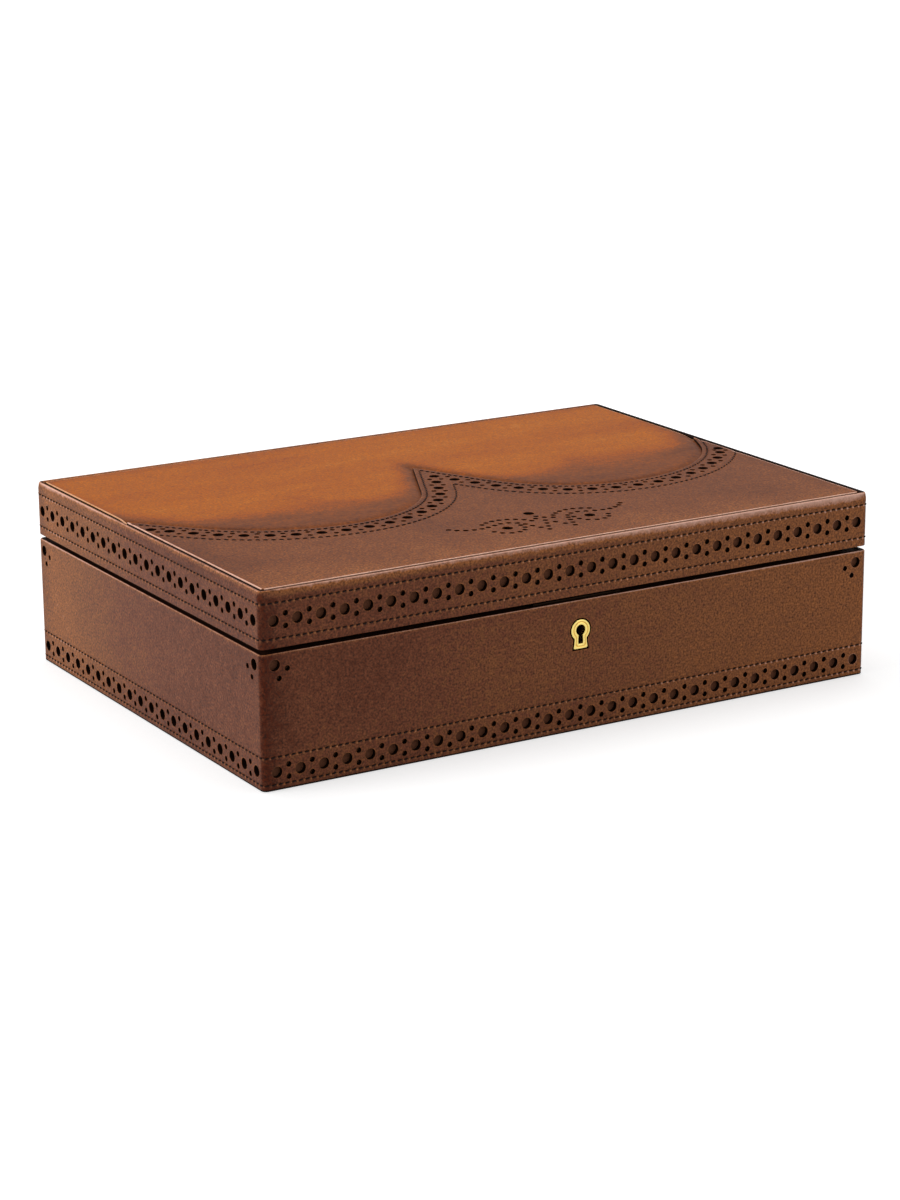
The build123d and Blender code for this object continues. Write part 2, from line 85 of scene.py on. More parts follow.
def circle(count):
    """Angles evenly round a circle."""
    return np.arange(count) * 2 * np.pi / count


def unit(vectors):
    """Vectors brought to length 1."""
    return vectors / np.linalg.norm(vectors, axis=-1, keepdims=True)


# Sizes in millimetres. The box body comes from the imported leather.
band_low, band_high = node_box("lid_band")
cover_low, cover_high = node_box("base_cover")
panel_low, panel_high = node_box("rear_panel")
cap_top = node_box("wing_cap")[1][2]
half_x, half_y = (band_high - band_low)[:2] / 2
mid_y = (band_low[1] + band_high[1]) / 2
corner_radius = 3.0
leather, top_leather = 2.6, 1.5
panel_inset = half_x - panel_high[0]
sheet_x, sheet_y = half_x - panel_inset, half_y - panel_inset

# Section of the leather skins. The band rolls in to a crisp rim line, then lies level to its cut edge.
rim_line_depth, rim_line_drop, rim_level_depth = 0.45, 0.5, 0.8
rim_line_radius, rim_inner_radius = 0.25, 1.2
shoulder_z, shoulder_radius = 96.9, 9.0
foot_radius, cover_radius = 0.5, 0.8
rim_foot_z = panel_low[2] + 0.6
arc_steps = 8

# Perforations: rows of large punches with a pair of small ones between each two.
punch_radius, pip_radius, pip_offset = 2.85, 1.42, 3.1
front_count, front_pitch = 28, 12.82
side_count, side_pitch = 20, 12.9
lid_row_z, base_row_z, corner_punch_z = 84.8, 9.4, 62.9
corner_pips = ((6.8, -2.4), (2.3, -6.8))

# Saddle stitches, in rows beside the punches.
stitch_pitch, stitch_length, stitch_slant, thread_radius = 3.65, 2.6, 0.16, 0.42
stitch_sink, stitch_arch, stitch_taper = 0.08, 0.42, 0.75
stitch_rings, stitch_sides = 6, 6
lid_stitch_z = (75.9, 93.6)
base_stitch_z = (3.2, 17.0)
groove_half_width, groove_depth, groove_ridge = 0.8, 0.34, 0.40

# The W of the cap: a straight flank, an inner arc and an outer arc on each side.
cap_axis, apex_y = 5.8, 24.0
wing_low_x, wing_low_y = 86.0, -50.6
inner_radius = 80.0
outer_radius = {-1: 102.0, 1: 96.0}
outer_turn = {-1: np.radians(50), 1: np.radians(66)}
cap_margin, tan_overlap = 9.9, 5.0
wing_pitch, wing_side_margin = 13.15, 7.6
wing_row_end = {-1: 233.8, 1: 220.6}
cap_stitch_moves = (7.0, -8.5)
medallion_radius, medallion_pip = 2.9, 1.5

# The brass inlay and its keyhole. The inlay's outline is measured from its middle.
keyhole_z, keyhole_radius, keyhole_foot_z, keyhole_half_width, keyhole_flare = 53.1, 2.7, 46.0, 1.1, 0.4
inlay_middle_z, inlay_head_z, inlay_foot_z, inlay_play = 51.0, 53.0, 43.3, 0.7
inlay_head, inlay_waist, inlay_foot, inlay_flare_height = 5.6, 3.6, 4.3, 6.0
inlay_angles = circle(72)

# Geometry of the wall, which the skins, the stitches and the punches follow.
flat_x, flat_y = half_x - corner_radius, half_y - corner_radius
corner_arc = corner_radius * np.pi / 2
side_runs = [corner_arc, 2 * flat_y, corner_arc]
run_ends = np.cumsum([0, flat_x, *side_runs, 2 * flat_x, *side_runs, flat_x])
girth = run_ends[-1]
corner_middles = run_ends[[1, 3, 5, 7]] + corner_arc / 2
centre_x = flat_x * np.array([0, -1, -1, -1, -1, 1, 1, 1, 1, 0])
centre_y = mid_y + flat_y * np.array([1, 1, 1, -1, -1, -1, -1, 1, 1, 1])
wall_facing = np.radians([90, 90, 180, 180, 270, 270, 360, 360, 450, 450])
side_middles = {
    "left": (run_ends[2] + flat_y, side_count, side_pitch),
    "front": (run_ends[4] + flat_x, front_count, front_pitch),
    "right": (run_ends[6] + flat_y, side_count, side_pitch),
    "back": (girth, front_count, front_pitch),
}
front_middle = side_middles["front"][0]
seam = 2.45
pitch_count = round(girth / stitch_pitch)
wall_pitch = girth / pitch_count


def wrap(along, inset):
    """Plan of the wall: a centre that runs round the inner rectangle, plus the corner's radius less
    the inset in the direction that the wall faces there."""
    place = np.mod(along, girth)
    angle = np.interp(place, run_ends, wall_facing)
    reach = corner_radius - inset
    x = np.interp(place, run_ends, centre_x) + reach * np.cos(angle)
    y = np.interp(place, run_ends, centre_y) + reach * np.sin(angle)
    return x, y


def rounded_section(corners, radii):
    """A section line of (depth, height): straight runs, with an arc of each radius at each inner
    corner. Returns its points and its tangents, which turn evenly through the arcs."""
    corners = np.array(corners, float)
    points, tangents = [corners[0]], [corners[1] - corners[0]]
    for before, corner, after, radius in zip(corners, corners[1:], corners[2:], radii):
        arrive, leave = unit(corner - before), unit(after - corner)
        turn = np.arccos(np.clip(arrive @ leave, -1, 1))
        inward = (leave - arrive * np.cos(turn)) / np.sin(turn)
        start = corner - arrive * radius * np.tan(turn / 2)
        for angle in np.linspace(0, turn, arc_steps + 1):
            points.append(start + radius * (arrive * np.sin(angle) + inward * (1 - np.cos(angle))))
            tangents.append(arrive * np.cos(angle) + inward * np.sin(angle))
    points.append(corners[-1])
    tangents.append(corners[-1] - corners[-2])
    return np.array(points), unit(np.array(tangents))


class WallSkin:
    """A section line carried round the wall. Its coordinates are the place along the wall, the length
    along the section, and the height above the surface."""

    def __init__(self, corners, radii):
        self.points, tangents = rounded_section(corners, radii)
        self.normals = together(-tangents[:, 1], tangents[:, 0])
        steps = np.linalg.norm(np.diff(self.points, axis=0), axis=1)
        self.lengths = np.append(0, np.cumsum(steps))
        face = 1 + arc_steps
        self.face_start, self.face_end = self.lengths[face:face + 2]
        self.face_z = self.points[face, 1]

    def at_height(self, z):
        """Length along the section at a height on the upright face."""
        return self.face_start + z - self.face_z

    def section(self, values, v):
        """Both parts of the section's points or normals at lengths along it."""
        return [np.interp(v, self.lengths, part) for part in values.T]

    def place(self, u, v, w):
        (depth, z), (out, up) = self.section(self.points, v), self.section(self.normals, v)
        return together(*wrap(u, depth + w * out), z + w * up)


# Meshes from arrays.
def grid_faces(rows, columns, closed=False):
    """Quads of a grid of points in row order, wound so that columns times rows face outwards."""
    row, column = pairs(np.arange(rows - 1), np.arange(columns if closed else columns - 1))
    first, second = row * columns + column, row * columns + (column + 1) % columns
    return np.stack([first, second, second + columns, first + columns], -1).reshape(-1, 4)


def many(faces, step, count):
    """The same faces for a number of equal blocks of points."""
    return (faces[None] + step * np.arange(count)[:, None, None]).reshape(-1, faces.shape[1])


def fill_outline(loops, inside=()):
    """Triangles that fill the first loop around the other loops, through the inside points. The
    loops run anticlockwise, so a triangle whose corners are all on one loop lies inside that loop
    where its corners come in the loop's own order."""
    sizes = np.array([len(loop) for loop in loops])
    starts = np.cumsum(sizes) - sizes
    after = [start + (np.arange(size) + 1) % size for start, size in zip(starts, sizes)]
    edges = np.stack([np.arange(sizes.sum()), np.concatenate(after)], -1).tolist()
    flat = np.concatenate([*loops, np.reshape(inside, (-1, 2))])
    owner = np.append(np.repeat(np.arange(len(loops)), sizes), np.full(len(flat) - sizes.sum(), -1))
    rank = np.arange(len(flat)) - starts[owner]
    vectors = [Vector(point) for point in flat.tolist()]
    join_gap, least_area, within_edges = 1e-5, 1e-9, 2
    points, _, faces, sources, *_ = delaunay_2d_cdt(vectors, edges, [], within_edges, join_gap)
    points, faces = np.array([point.to_tuple() for point in points]), np.array(faces)
    if not all(sources):
        raise ValueError("an opening crosses another or the outline")
    source = np.array([origin[0] for origin in sources])
    one, two = points[faces[:, 1]] - points[faces[:, 0]], points[faces[:, 2]] - points[faces[:, 0]]
    area = one[:, 0] * two[:, 1] - one[:, 1] * two[:, 0]
    faces[area < 0] = faces[area < 0][:, ::-1]
    loop, place = owner[source[faces]], rank[source[faces]]
    one_loop = (loop[:, 0] == loop[:, 1]) & (loop[:, 1] == loop[:, 2]) & (loop[:, 0] >= 0)
    size = sizes[loop[:, 0]]
    in_order = (place[:, 1] - place[:, 0]) % size + (place[:, 2] - place[:, 1]) % size < size
    keep = ~one_loop | (in_order == (loop[:, 0] == 0))
    return points, faces[keep & (np.abs(area) > least_area)]


def clear_of(holes, points, least=0.3):
    """The points that keep a least gap to every hole. A point in a hole would fill it."""
    middles = np.array([loop.mean(0) for loop in holes])
    sizes = np.array([np.linalg.norm(loop - loop.mean(0), axis=1).max() for loop in holes])
    clear = [np.linalg.norm(middles - point, axis=1) - sizes > least for point in points]
    return points[np.all(clear, axis=1)]


def put(name, data):
    """A new object in the scene."""
    thing = bpy.data.objects.new(name, data)
    bpy.context.scene.collection.objects.link(thing)
    return thing


class Shell:
    """Collects blocks of points, faces and a tone for each point, and makes one piece of them."""

    def __init__(self):
        self.points, self.faces, self.kinds, self.tones, self.count = [], [], [], [], 0

    def add(self, points, faces, tone=0.0, kind=0):
        points = points.reshape(-1, 3)
        self.points.append(points)
        self.tones.append(np.broadcast_to(np.asarray(tone, float).reshape(-1), (len(points),)))
        self.add_faces(faces + self.count, kind)
        self.count += len(points)

    def add_faces(self, faces, kind=0):
        self.faces.append(faces)
        self.kinds.append(np.broadcast_to(np.asarray(kind), (len(faces),)))

    def weld(self):
        """Join the points that fall on the same micrometre, and drop faces that this folds up."""
        points, tones = np.concatenate(self.points), np.concatenate(self.tones)
        keys = np.round(points * 1000 + 0.237).astype(np.int64)
        _, first, inverse = np.unique(keys, axis=0, return_index=True, return_inverse=True)
        self.points, self.tones = [points[first]], [tones[first]]
        faces = [inverse.reshape(-1)[group] for group in self.faces]
        whole = [np.diff(np.sort(group, 1), axis=1).min(1) > 0 for group in faces]
        self.faces = [group[keep] for group, keep in zip(faces, whole)]
        self.kinds = [group[keep] for group, keep in zip(self.kinds, whole)]

    def piece(self, name, materials, body, slot, sharp=50, weld=True):
        """A mesh object of what was added, riding on a body."""
        if weld:
            self.weld()
        mesh = bpy.data.meshes.new(name)
        points, tones, kinds = (np.concatenate(part) for part in (self.points, self.tones, self.kinds))
        sizes = np.concatenate([np.full(len(group), group.shape[1]) for group in self.faces])
        corners = np.concatenate([group.reshape(-1) for group in self.faces])
        mesh.vertices.add(len(points))
        mesh.vertices.foreach_set("co", (points * MM).astype(np.float32).reshape(-1))
        mesh.loops.add(len(corners))
        mesh.loops.foreach_set("vertex_index", corners.astype(np.int32))
        mesh.polygons.add(len(sizes))
        mesh.polygons.foreach_set("loop_start", (np.cumsum(sizes) - sizes).astype(np.int32))
        for material in materials:
            mesh.materials.append(material)
        mesh.polygons.foreach_set("material_index", kinds.astype(np.int32))
        mesh.update(calc_edges=True)
        mesh.validate()
        tone = mesh.attributes.new("tone", "FLOAT", "POINT")
        tone.data.foreach_set("value", tones.astype(np.float32))
        mesh.shade_smooth()
        mesh.set_sharp_from_angle(angle=np.radians(sharp))
        piece = put(name, mesh)
        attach(piece, body)
        return piece


# Materials. A tone runs from palest, used for painted highlights, through 0 to 1, whose dark end also carries
# painted shade.
palest = -0.6


def linear(code):
    """A colour in linear light from its sRGB hex code."""
    shares = np.array([int(code[k:k + 2], 16) for k in (1, 3, 5)]) / 255
    shares = np.where(shares <= 0.04045, shares / 12.92, ((shares + 0.055) / 1.055) ** 2.4)
    return (*shares.tolist(), 1.0)


def add_node(tree, kind, settings=None, **links):
    """Add one node: settings name its properties or its inputs, links name inputs by socket or number."""
    node = tree.nodes.new(kind)
    for key, value in (settings or {}).items():
        if hasattr(node, key):
            setattr(node, key, value)
        else:
            node.inputs[key].default_value = value
    for key, source in links.items():
        target = int(key[1:]) if key[0] == "i" and key[1:].isdigit() else key.replace("_", " ")
        tree.links.new(source, node.inputs[target])
    return node


def new_material(name):
    """A material with its tree, its principled shader and its object coordinates."""
    material = bpy.data.materials.new(name)
    material.use_nodes = True
    tree = material.node_tree
    coordinates = add_node(tree, "ShaderNodeTexCoord").outputs["Object"]
    return material, tree, tree.nodes["Principled BSDF"], coordinates


def scalar(tree, operation, *values):
    """A math node whose inputs are numbers or sockets."""
    node = add_node(tree, "ShaderNodeMath", {"operation": operation})
    for socket, value in zip(node.inputs, values):
        if isinstance(value, (int, float)):
            socket.default_value = value
        else:
            tree.links.new(value, socket)
    return node.outputs[0]


def ramp(tree, tone, stops):
    """A colour ramp from (tone, hex colour) stops, whose own places run from 0 to 1."""
    share = scalar(tree, "MULTIPLY_ADD", tone, 1 / (1 - palest), -palest / (1 - palest))
    node = add_node(tree, "ShaderNodeValToRGB", Fac=share)
    elements = node.color_ramp.elements
    while len(elements) < len(stops):
        elements.new(0.5)
    for element, (place, colour) in zip(elements, stops):
        element.position = (place - palest) / (1 - palest)
        element.color = linear(colour)
    return node.outputs["Color"]


def noise(tree, coordinates, size_mm, detail=3.0, stretch=(1, 1, 1)):
    """Noise whose features are about size_mm across, drawn out along the axes by stretch."""
    scale = {"Scale": tuple(1 / share for share in stretch)}
    mapped = add_node(tree, "ShaderNodeMapping", scale, Vector=coordinates)
    settings = {"Scale": 1 / (size_mm * MM), "Detail": detail, "Roughness": 0.55}
    return add_node(tree, "ShaderNodeTexNoise", settings, Vector=mapped.outputs[0]).outputs["Fac"]


def roughen(tree, shader, strength, depth_mm, height):
    """A bump on the shader, of a depth in millimetres."""
    settings = {"Strength": strength, "Distance": depth_mm * MM}
    bump = add_node(tree, "ShaderNodeBump", settings, Height=height)
    tree.links.new(bump.outputs[0], shader.inputs["Normal"])


def burnished_calf(name, stops, gloss, grain, streak=(1, 1, 1), cloud=0.4):
    """Vegetable-tanned calf, drum-dyed, then burnished by hand with wax. Its colour follows the tone,
    which holds the burnishing with painted highlights and painted shade, and varies in soft clouds;
    the grain gives the colour and the low gloss a fine speckle, which fades in the pale tones."""
    material, tree, shader, coordinates = new_material(name)
    share = add_node(tree, "ShaderNodeAttribute", {"attribute_name": "tone"}).outputs["Fac"]
    clouds, patches = (
        noise(tree, coordinates, size, detail, streak) for size, detail in ((38, 4.0), (9, 3.0))
    )
    mottle, speckle = (noise(tree, coordinates, size, 2.0) for size in (2.8, 1.1))
    for value, spread in ((clouds, cloud), (patches, 0.4 * cloud), (mottle, 0.6)):
        share = scalar(tree, "ADD", share, scalar(tree, "MULTIPLY_ADD", value, spread, -0.5 * spread))
    dyed = {"From Min": -0.45, "From Max": 0.0, "To Min": 0.1, "To Max": 1.0}
    dyed = add_node(tree, "ShaderNodeMapRange", dyed, Value=share).outputs[0]
    tinted = add_node(
        tree, "ShaderNodeMix", {"data_type": "RGBA", "blend_type": "MULTIPLY"}, Factor=dyed,
        i6=ramp(tree, share, stops), i7=scalar(tree, "MULTIPLY_ADD", speckle, grain, 1 - 0.5 * grain),
    )
    tree.links.new(tinted.outputs[2], shader.inputs["Base Color"])
    pores = add_node(tree, "ShaderNodeTexVoronoi", {"Scale": 1 / (0.9 * MM)}, Vector=coordinates)
    creases = scalar(tree, "MULTIPLY", patches, 1.6)
    relief = scalar(tree, "MULTIPLY_ADD", pores.outputs["Distance"], 0.6, creases)
    roughen(tree, shader, 0.35, 0.12, relief)
    tree.links.new(scalar(tree, "MULTIPLY_ADD", speckle, 0.3, 0.35), shader.inputs["Roughness"])
    shader.inputs["Specular IOR Level"].default_value = gloss
    return material


def plain_finish(
    name, colour, spread, roughness, size_mm, bump_mm=0.05, metallic=0.0, sheen=0.0,
    stretch=(1, 1, 1), gloss=0.5,
):
    """A finish of one colour that varies by spread over size_mm, with a bump of the same grain."""
    material, tree, shader, coordinates = new_material(name)
    grain = noise(tree, coordinates, size_mm, 3.0, stretch)
    mix = add_node(tree, "ShaderNodeMix", {"data_type": "RGBA"}, Factor=grain)
    for socket, change in ((6, -spread), (7, spread)):
        shade = np.clip(np.array(linear(colour)[:3]) * (1 + change), 0, 1)
        mix.inputs[socket].default_value = (*shade.tolist(), 1.0)
    tree.links.new(mix.outputs[2], shader.inputs["Base Color"])
    roughen(tree, shader, 0.5, bump_mm, grain)
    looks = {"Roughness": roughness, "Metallic": metallic, "Specular IOR Level": gloss, "Sheen Weight": sheen}
    for socket, value in looks.items():
        shader.inputs[socket].default_value = value
    return material


# Wall leather in chestnut calf: pale tones for painted highlights, then burnished tan through brown to a
# near-black for worked edges and painted shade.
side_calf = burnished_calf(
    "chestnut_burnished_calf",
    [(-0.6, "#E6B6A2"), (-0.2, "#B98268"), (0.0, "#9A5E34"), (0.3, "#865231"), (0.55, "#74422C"),
     (0.8, "#5A2D1A"), (1.0, "#4C1A04")],
    gloss=0.12, grain=3.2,
)
# The cap's calf is redder, waxed matt and lies in larger clouds.
cap_calf = burnished_calf(
    "chestnut_cap_calf",
    [(-0.6, "#EDBCA6"), (-0.2, "#BE8468"), (0.0, "#8D552D"), (0.4, "#744123"), (0.7, "#5E321C"),
     (1.0, "#381A0E")],
    gloss=0.04, grain=3.4, cloud=0.55,
)
# The rear panel stays tan, with its dye drawn out from side to side by the burnishing cloth.
rear_calf = burnished_calf(
    "tan_burnished_calf",
    [(-0.6, "#E8B088"), (-0.25, "#B4702E"), (0.0, "#A65A12"), (0.35, "#944A12"), (0.65, "#743D1A"),
     (1.0, "#4A2413")],
    gloss=0.04, grain=2.0, streak=(3.2, 0.8, 1), cloud=0.7,
)
# Cut edges and punched walls are inked, which leaves them nearly black and matt.
inked_edge = plain_finish("inked_leather_edge", "#180A05", 0.3, 0.7, 0.8, gloss=0.05)
lining_hide = plain_finish("brown_split_lining", "#744A36", 0.25, 0.85, 0.7, gloss=0.05)
# The cap's underlay is near black as painted shade, so that its punches look dark.
shade_black_hide = plain_finish("painted_shade_lining", "#24120B", 0.25, 0.85, 0.7, gloss=0.03)
# The thread is dark, and its near black also paints the shade in its needle holes.
waxed_thread = plain_finish("waxed_linen_thread", "#160804", 0.3, 0.6, 0.35, 0.03, gloss=0.1)
# Alcantara-like suede has a short nap that lightens at grazing view.
suede = plain_finish("brown_goat_suede", "#4A3024", 0.22, 0.95, 1.2, 0.06, sheen=0.25, gloss=0.1)
stained_wood = plain_finish("stained_poplar", "#3A2216", 0.3, 0.7, 1.6, 0.04, stretch=(18, 1, 1), gloss=0.05)
felt = plain_finish("wool_felt", "#2A1C16", 0.25, 1.0, 0.8, 0.15, sheen=0.3)
brass = plain_finish("polished_brass", "#E3CB78", 0.06, 0.24, 2.5, 0.004, metallic=1.0)
cast_brass = plain_finish("satin_brass", "#C9A24E", 0.08, 0.36, 0.9, 0.008, metallic=1.0)
# Lock and strike are near black as painted shade, so the closed seam stays dark.
shade_black_brass = plain_finish("painted_shade_brass", "#2A1E16", 0.2, 0.5, 0.9, 0.008, metallic=1.0)


# Coordinates of the cap's W. A place is (length along the punch row from the apex, distance towards
# the back). A row that is moved towards the back starts at a negative length.
wing_rise = wing_low_y + inner_radius - apex_y
wing_reach = np.hypot(wing_low_x, wing_rise)
flank_angle = np.arcsin(inner_radius / wing_reach) - np.arctan2(wing_rise, wing_low_x)
flank_length = np.sqrt(wing_reach**2 - inner_radius**2)
inner_end = flank_length + inner_radius * flank_angle
longest_row = 420


def turned(x, y, angle):
    """A vector in plan, turned anticlockwise."""
    return np.array([x * np.cos(angle) - y * np.sin(angle), x * np.sin(angle) + y * np.cos(angle)])


def on_arc(radius, angle, move):
    """A point by an arc through the low of the W: its centre plus the radius less the move."""
    reach = radius - move
    return np.array([wing_low_x + reach * np.sin(angle), wing_low_y + radius - reach * np.cos(angle)])


def from_arc(radius, x, y):
    """Angle and move of a point by an arc: the inverse of on_arc."""
    up = wing_low_y + radius - y
    return np.arctan2(x - wing_low_x, up), radius - np.hypot(x - wing_low_x, up)


def wing_place(side, travel, move):
    """Plan of the W: flank, inner arc, outer arc and a last straight, each moved sideways by move."""
    travel, move = np.broadcast_arrays(np.asarray(travel, float), move)
    outer, turn = outer_radius[side], outer_turn[side]
    past = travel - inner_end
    flank = turned(travel, move, -flank_angle)
    flank[1] += apex_y
    inner = on_arc(inner_radius, (travel - flank_length) / inner_radius - flank_angle, move)
    last = on_arc(outer, np.clip(past / outer, 0, turn), move)
    last += turned(np.maximum(past - outer * turn, 0), 0, turn)
    x, y = np.select([travel < flank_length, past < 0], [flank, inner], last)
    return together(cap_axis + side * x, y)


def wing_coordinates(x, y):
    """The W's own (travel, move) of points in plan: the inverse of wing_place, piece by piece."""
    across = np.abs(x - cap_axis)
    outer, turn = (np.where(x < cap_axis, part[-1], part[1]) for part in (outer_radius, outer_turn))
    flank = turned(across, y - apex_y, flank_angle)
    inner_angle, inner_move = from_arc(inner_radius, across, y)
    outer_angle, outer_move = from_arc(outer, across, y)
    end_x, end_y = on_arc(outer, turn, 0)
    end = turned(across - end_x, y - end_y, -turn)
    cases = [flank[0] < flank_length, across < wing_low_x, outer_angle < turn]
    inner_travel = flank_length + (inner_angle + flank_angle) * inner_radius
    travels = [flank[0], inner_travel, inner_end + outer_angle * outer]
    travel = np.select(cases, travels, inner_end + outer * turn + end[0])
    return travel, np.select(cases, [flank[1], inner_move, outer_move], end[1])


def wing_move(points):
    return wing_coordinates(*points.T)[1]


def row_start(move):
    """The length at which a row that is moved by move meets the W's line of symmetry."""
    return -move * np.tan(flank_angle)


def wing_row(side, move, step, margin):
    """Lengths along one wing, from its line of symmetry to a margin before the sheet's side."""
    lengths = np.arange(row_start(move), row_start(move) + longest_row, step)
    return lengths[np.abs(wing_place(side, lengths, move)[:, 0]) < sheet_x - margin]


def wing_points(side, move, step, margin):
    """Points of such a row, without the one on the line of symmetry."""
    return wing_place(side, wing_row(side, move, step, margin)[1:], move)


# Reliefs and burnish of the leather.
ridge_width = 0.45
spot_strength, spot_length, spot_width, spot_drop = 0.85, 0.55, 0.5, 0.45
# Where the painted corner shade begins, rises, holds and fades.
shade_before, shade_rise, shade_hold, shade_reach = 2.4, 1.4, 3.5, 34 ** 0.5


def from_needle_hole(along):
    """Distance along a row of stitches from the nearest needle hole."""
    return (along / stitch_pitch - np.round(along / stitch_pitch)) * stitch_pitch


def stitch_relief(across, along):
    """A rounded groove under a row of stitches, in which the leather rises again between two stitches."""
    ridge = groove_ridge * bell(from_needle_hole(along), ridge_width)
    return bell(across, groove_half_width) * (ridge - groove_depth)


def stitch_highlight(across, along):
    """A painted highlight in a small round spot just below each needle hole, where the leather is raised."""
    spot = bell(from_needle_hole(along), spot_length) * bell(across + spot_drop, spot_width)
    return spot_strength * spot


def past_corners(u):
    """Distances along the wall past the middle of each upright corner, below 0 before it."""
    return np.mod(u[..., None] - corner_middles + girth / 2, girth) - girth / 2


def painted_corner_shade(u):
    """Painted shade that starts at each upright corner and fades along the side that follows it."""
    past = past_corners(u)
    rise = np.clip((past + shade_before) / shade_rise, 0, 1)
    return (rise * bell(np.maximum(past - shade_hold, 0), shade_reach)).max(-1)


# The burnishing, with painted shade for how the light falls on each side, at the middle of the back,
# at the four upright corners with the middle of the left side after the first, and at the middle of the back
# again.
burnish_places = np.sort([0, side_middles["left"][0], *corner_middles, girth])
burnish_and_shade = [0.36, 0.02, 0.55, 0.62, 0.12, 0.42, 0.36]


def wall_tone(u, z, low, high):
    """Tone of the walls: burnishing and painted shade that change evenly from corner to corner, painted
    shade after each upright corner, and a little darkening towards the top and bottom edges."""
    edges = fade(np.minimum(z - low, high - z), 2.5)
    return np.interp(np.mod(u, girth), burnish_places, burnish_and_shade) + 0.32 * painted_corner_shade(u) + 0.08 * edges


def into_seam(u):
    """Places along the wall, counted on from the seam of the mesh."""
    return np.mod(u - seam, girth) + seam


def wall_columns():
    """Places along the wall: 3 mm apart on the flats and 0.6 mm apart round the corners."""
    places = [seam, seam + girth]
    for number, (start, end) in enumerate(zip(run_ends, run_ends[1:])):
        step = 0.6 if number % 2 else 3.0
        places.extend(into_seam(np.linspace(start, end, int(np.ceil((end - start) / step)) + 1)))
    return np.unique(np.round(places, 6))


def perforated_row(z):
    """The large punches and the small pairs of a row round all four sides, as (place, height)."""
    rows = [
        middle + (np.arange(count) - (count - 1) / 2) * pitch
        for middle, count, pitch in side_middles.values()
    ]
    gaps = into_seam(np.concatenate([(row[:-1] + row[1:]) / 2 for row in rows]))
    pips = np.concatenate([together(gaps, z + rise) for rise in (-pip_offset, pip_offset)])
    return together(into_seam(np.concatenate(rows)), z), pips


def corner_motif(z):
    """A large punch and two small ones at both ends of each side, mirrored about its middle."""
    large, pips = [], []
    for middle, count, pitch in side_middles.values():
        for way in (-1, 1):
            end = middle + way * pitch * (count - 1) / 2
            large.append((into_seam(end), z))
            pips += [(into_seam(end - way * inwards), z + up) for inwards, up in corner_pips]
    return np.array(large), np.array(pips)


# Rings of a punched hole, from the face inwards: a low burr and a rounded lip, which follow the
# leather's relief, and the wall.
lip_grow = np.array([0.42, 0.24, 0.10, 0.0, 0.0, 0.0])
lip_rise = np.array([0.0, 0.05, 0.03, -0.14, -0.5, 0.0])
# Tones of the rings: a painted highlight on the burr and the lip, and painted shade going down into the hole.
lip_highlight_and_shade = np.array([0.0, -0.36, -0.2, 0.4, 0.5, 0.5])
lip_rings = 3
# A small punch's radius, its sides, and its share of the lip's growth.
small_punch = (pip_radius, 14, 0.7)

# How a wall's face is divided: lanes beside each row of stitches, in steps along them, and round the
# upright corners a grid that keeps clear of the rows. Its rolled edges go on in steps.
face_lanes = np.array([-1.5, -0.95, -0.5, 0.0, 0.5, 0.95, 1.5])
face_margin, lane_steps, end_count = 0.4, 8, 9
grid_step, grid_clear = 1.6, 2.2
edge_step, edge_gap = 0.45, 0.1
# Strength and width of the painted highlight line along a rolled edge.
highlight_strength, highlight_width = 1.1, 0.22
back_tone = 0.6


def punches(centres, radius, sides=22, share=1.0):
    """Circles of the lip's rings round each centre, with the lip's growth taken by a share: for each
    punch, each ring and each corner, a point."""
    reach = radius + lip_grow * share
    around = together(np.cos(circle(sides)), np.sin(circle(sides)))
    return centres[:, None, None] + reach[:, None, None] * around


def punch_through(shell, place, relief, tone, openings, thickness):
    """The lips and walls of openings. Each ring is the opening's outline, grown, at a height that
    goes from the leather's own relief down to its back. A narrow lip rises less and gets less of the
    painted highlight. Returns the outer and the last loops."""
    holes, backs = [], []
    for loops in openings:
        u, v = loops[..., 0], loops[..., 1]
        count, rings, sides = u.shape
        width = np.linalg.norm(loops[0, 0, 0] - loops[0, lip_rings, 0]) / lip_grow[0]
        lip = np.where((lip_rise > 0) | (lip_highlight_and_shade < 0), min(width, 1), 1)
        height = np.tile((lip_rise * lip)[:, None], (count, 1, sides))
        height[:, :lip_rings] += relief(u[:, :lip_rings], v[:, :lip_rings])
        height[:, -1] = -thickness
        faces = many(grid_faces(rings, sides, closed=True), rings * sides, count)
        inked = np.tile(np.repeat(np.arange(rings - 1) >= lip_rings, sides), count).astype(int)
        shell.add(place(u, v, height), faces, tone(u, v) + (lip_highlight_and_shade * lip)[:, None], inked)
        holes.extend(loops[:, 0])
        backs.extend(loops[:, -1])
    return holes, backs


def leather_piece(shell, name, calf, body, slot, node):
    """A leather of its calf and its inked edges, which takes the place of a CAD node. It is shaded by
    the normals of the larger faces, so that a lip's slope doesn't spread over the flat."""
    piece = shell.piece(name, [calf, inked_edge], body, slot)
    even = piece.modifiers.new("even_shading", "WEIGHTED_NORMAL")
    even.mode, even.weight, even.keep_sharp = "FACE_AREA", 50, True
    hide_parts(node)


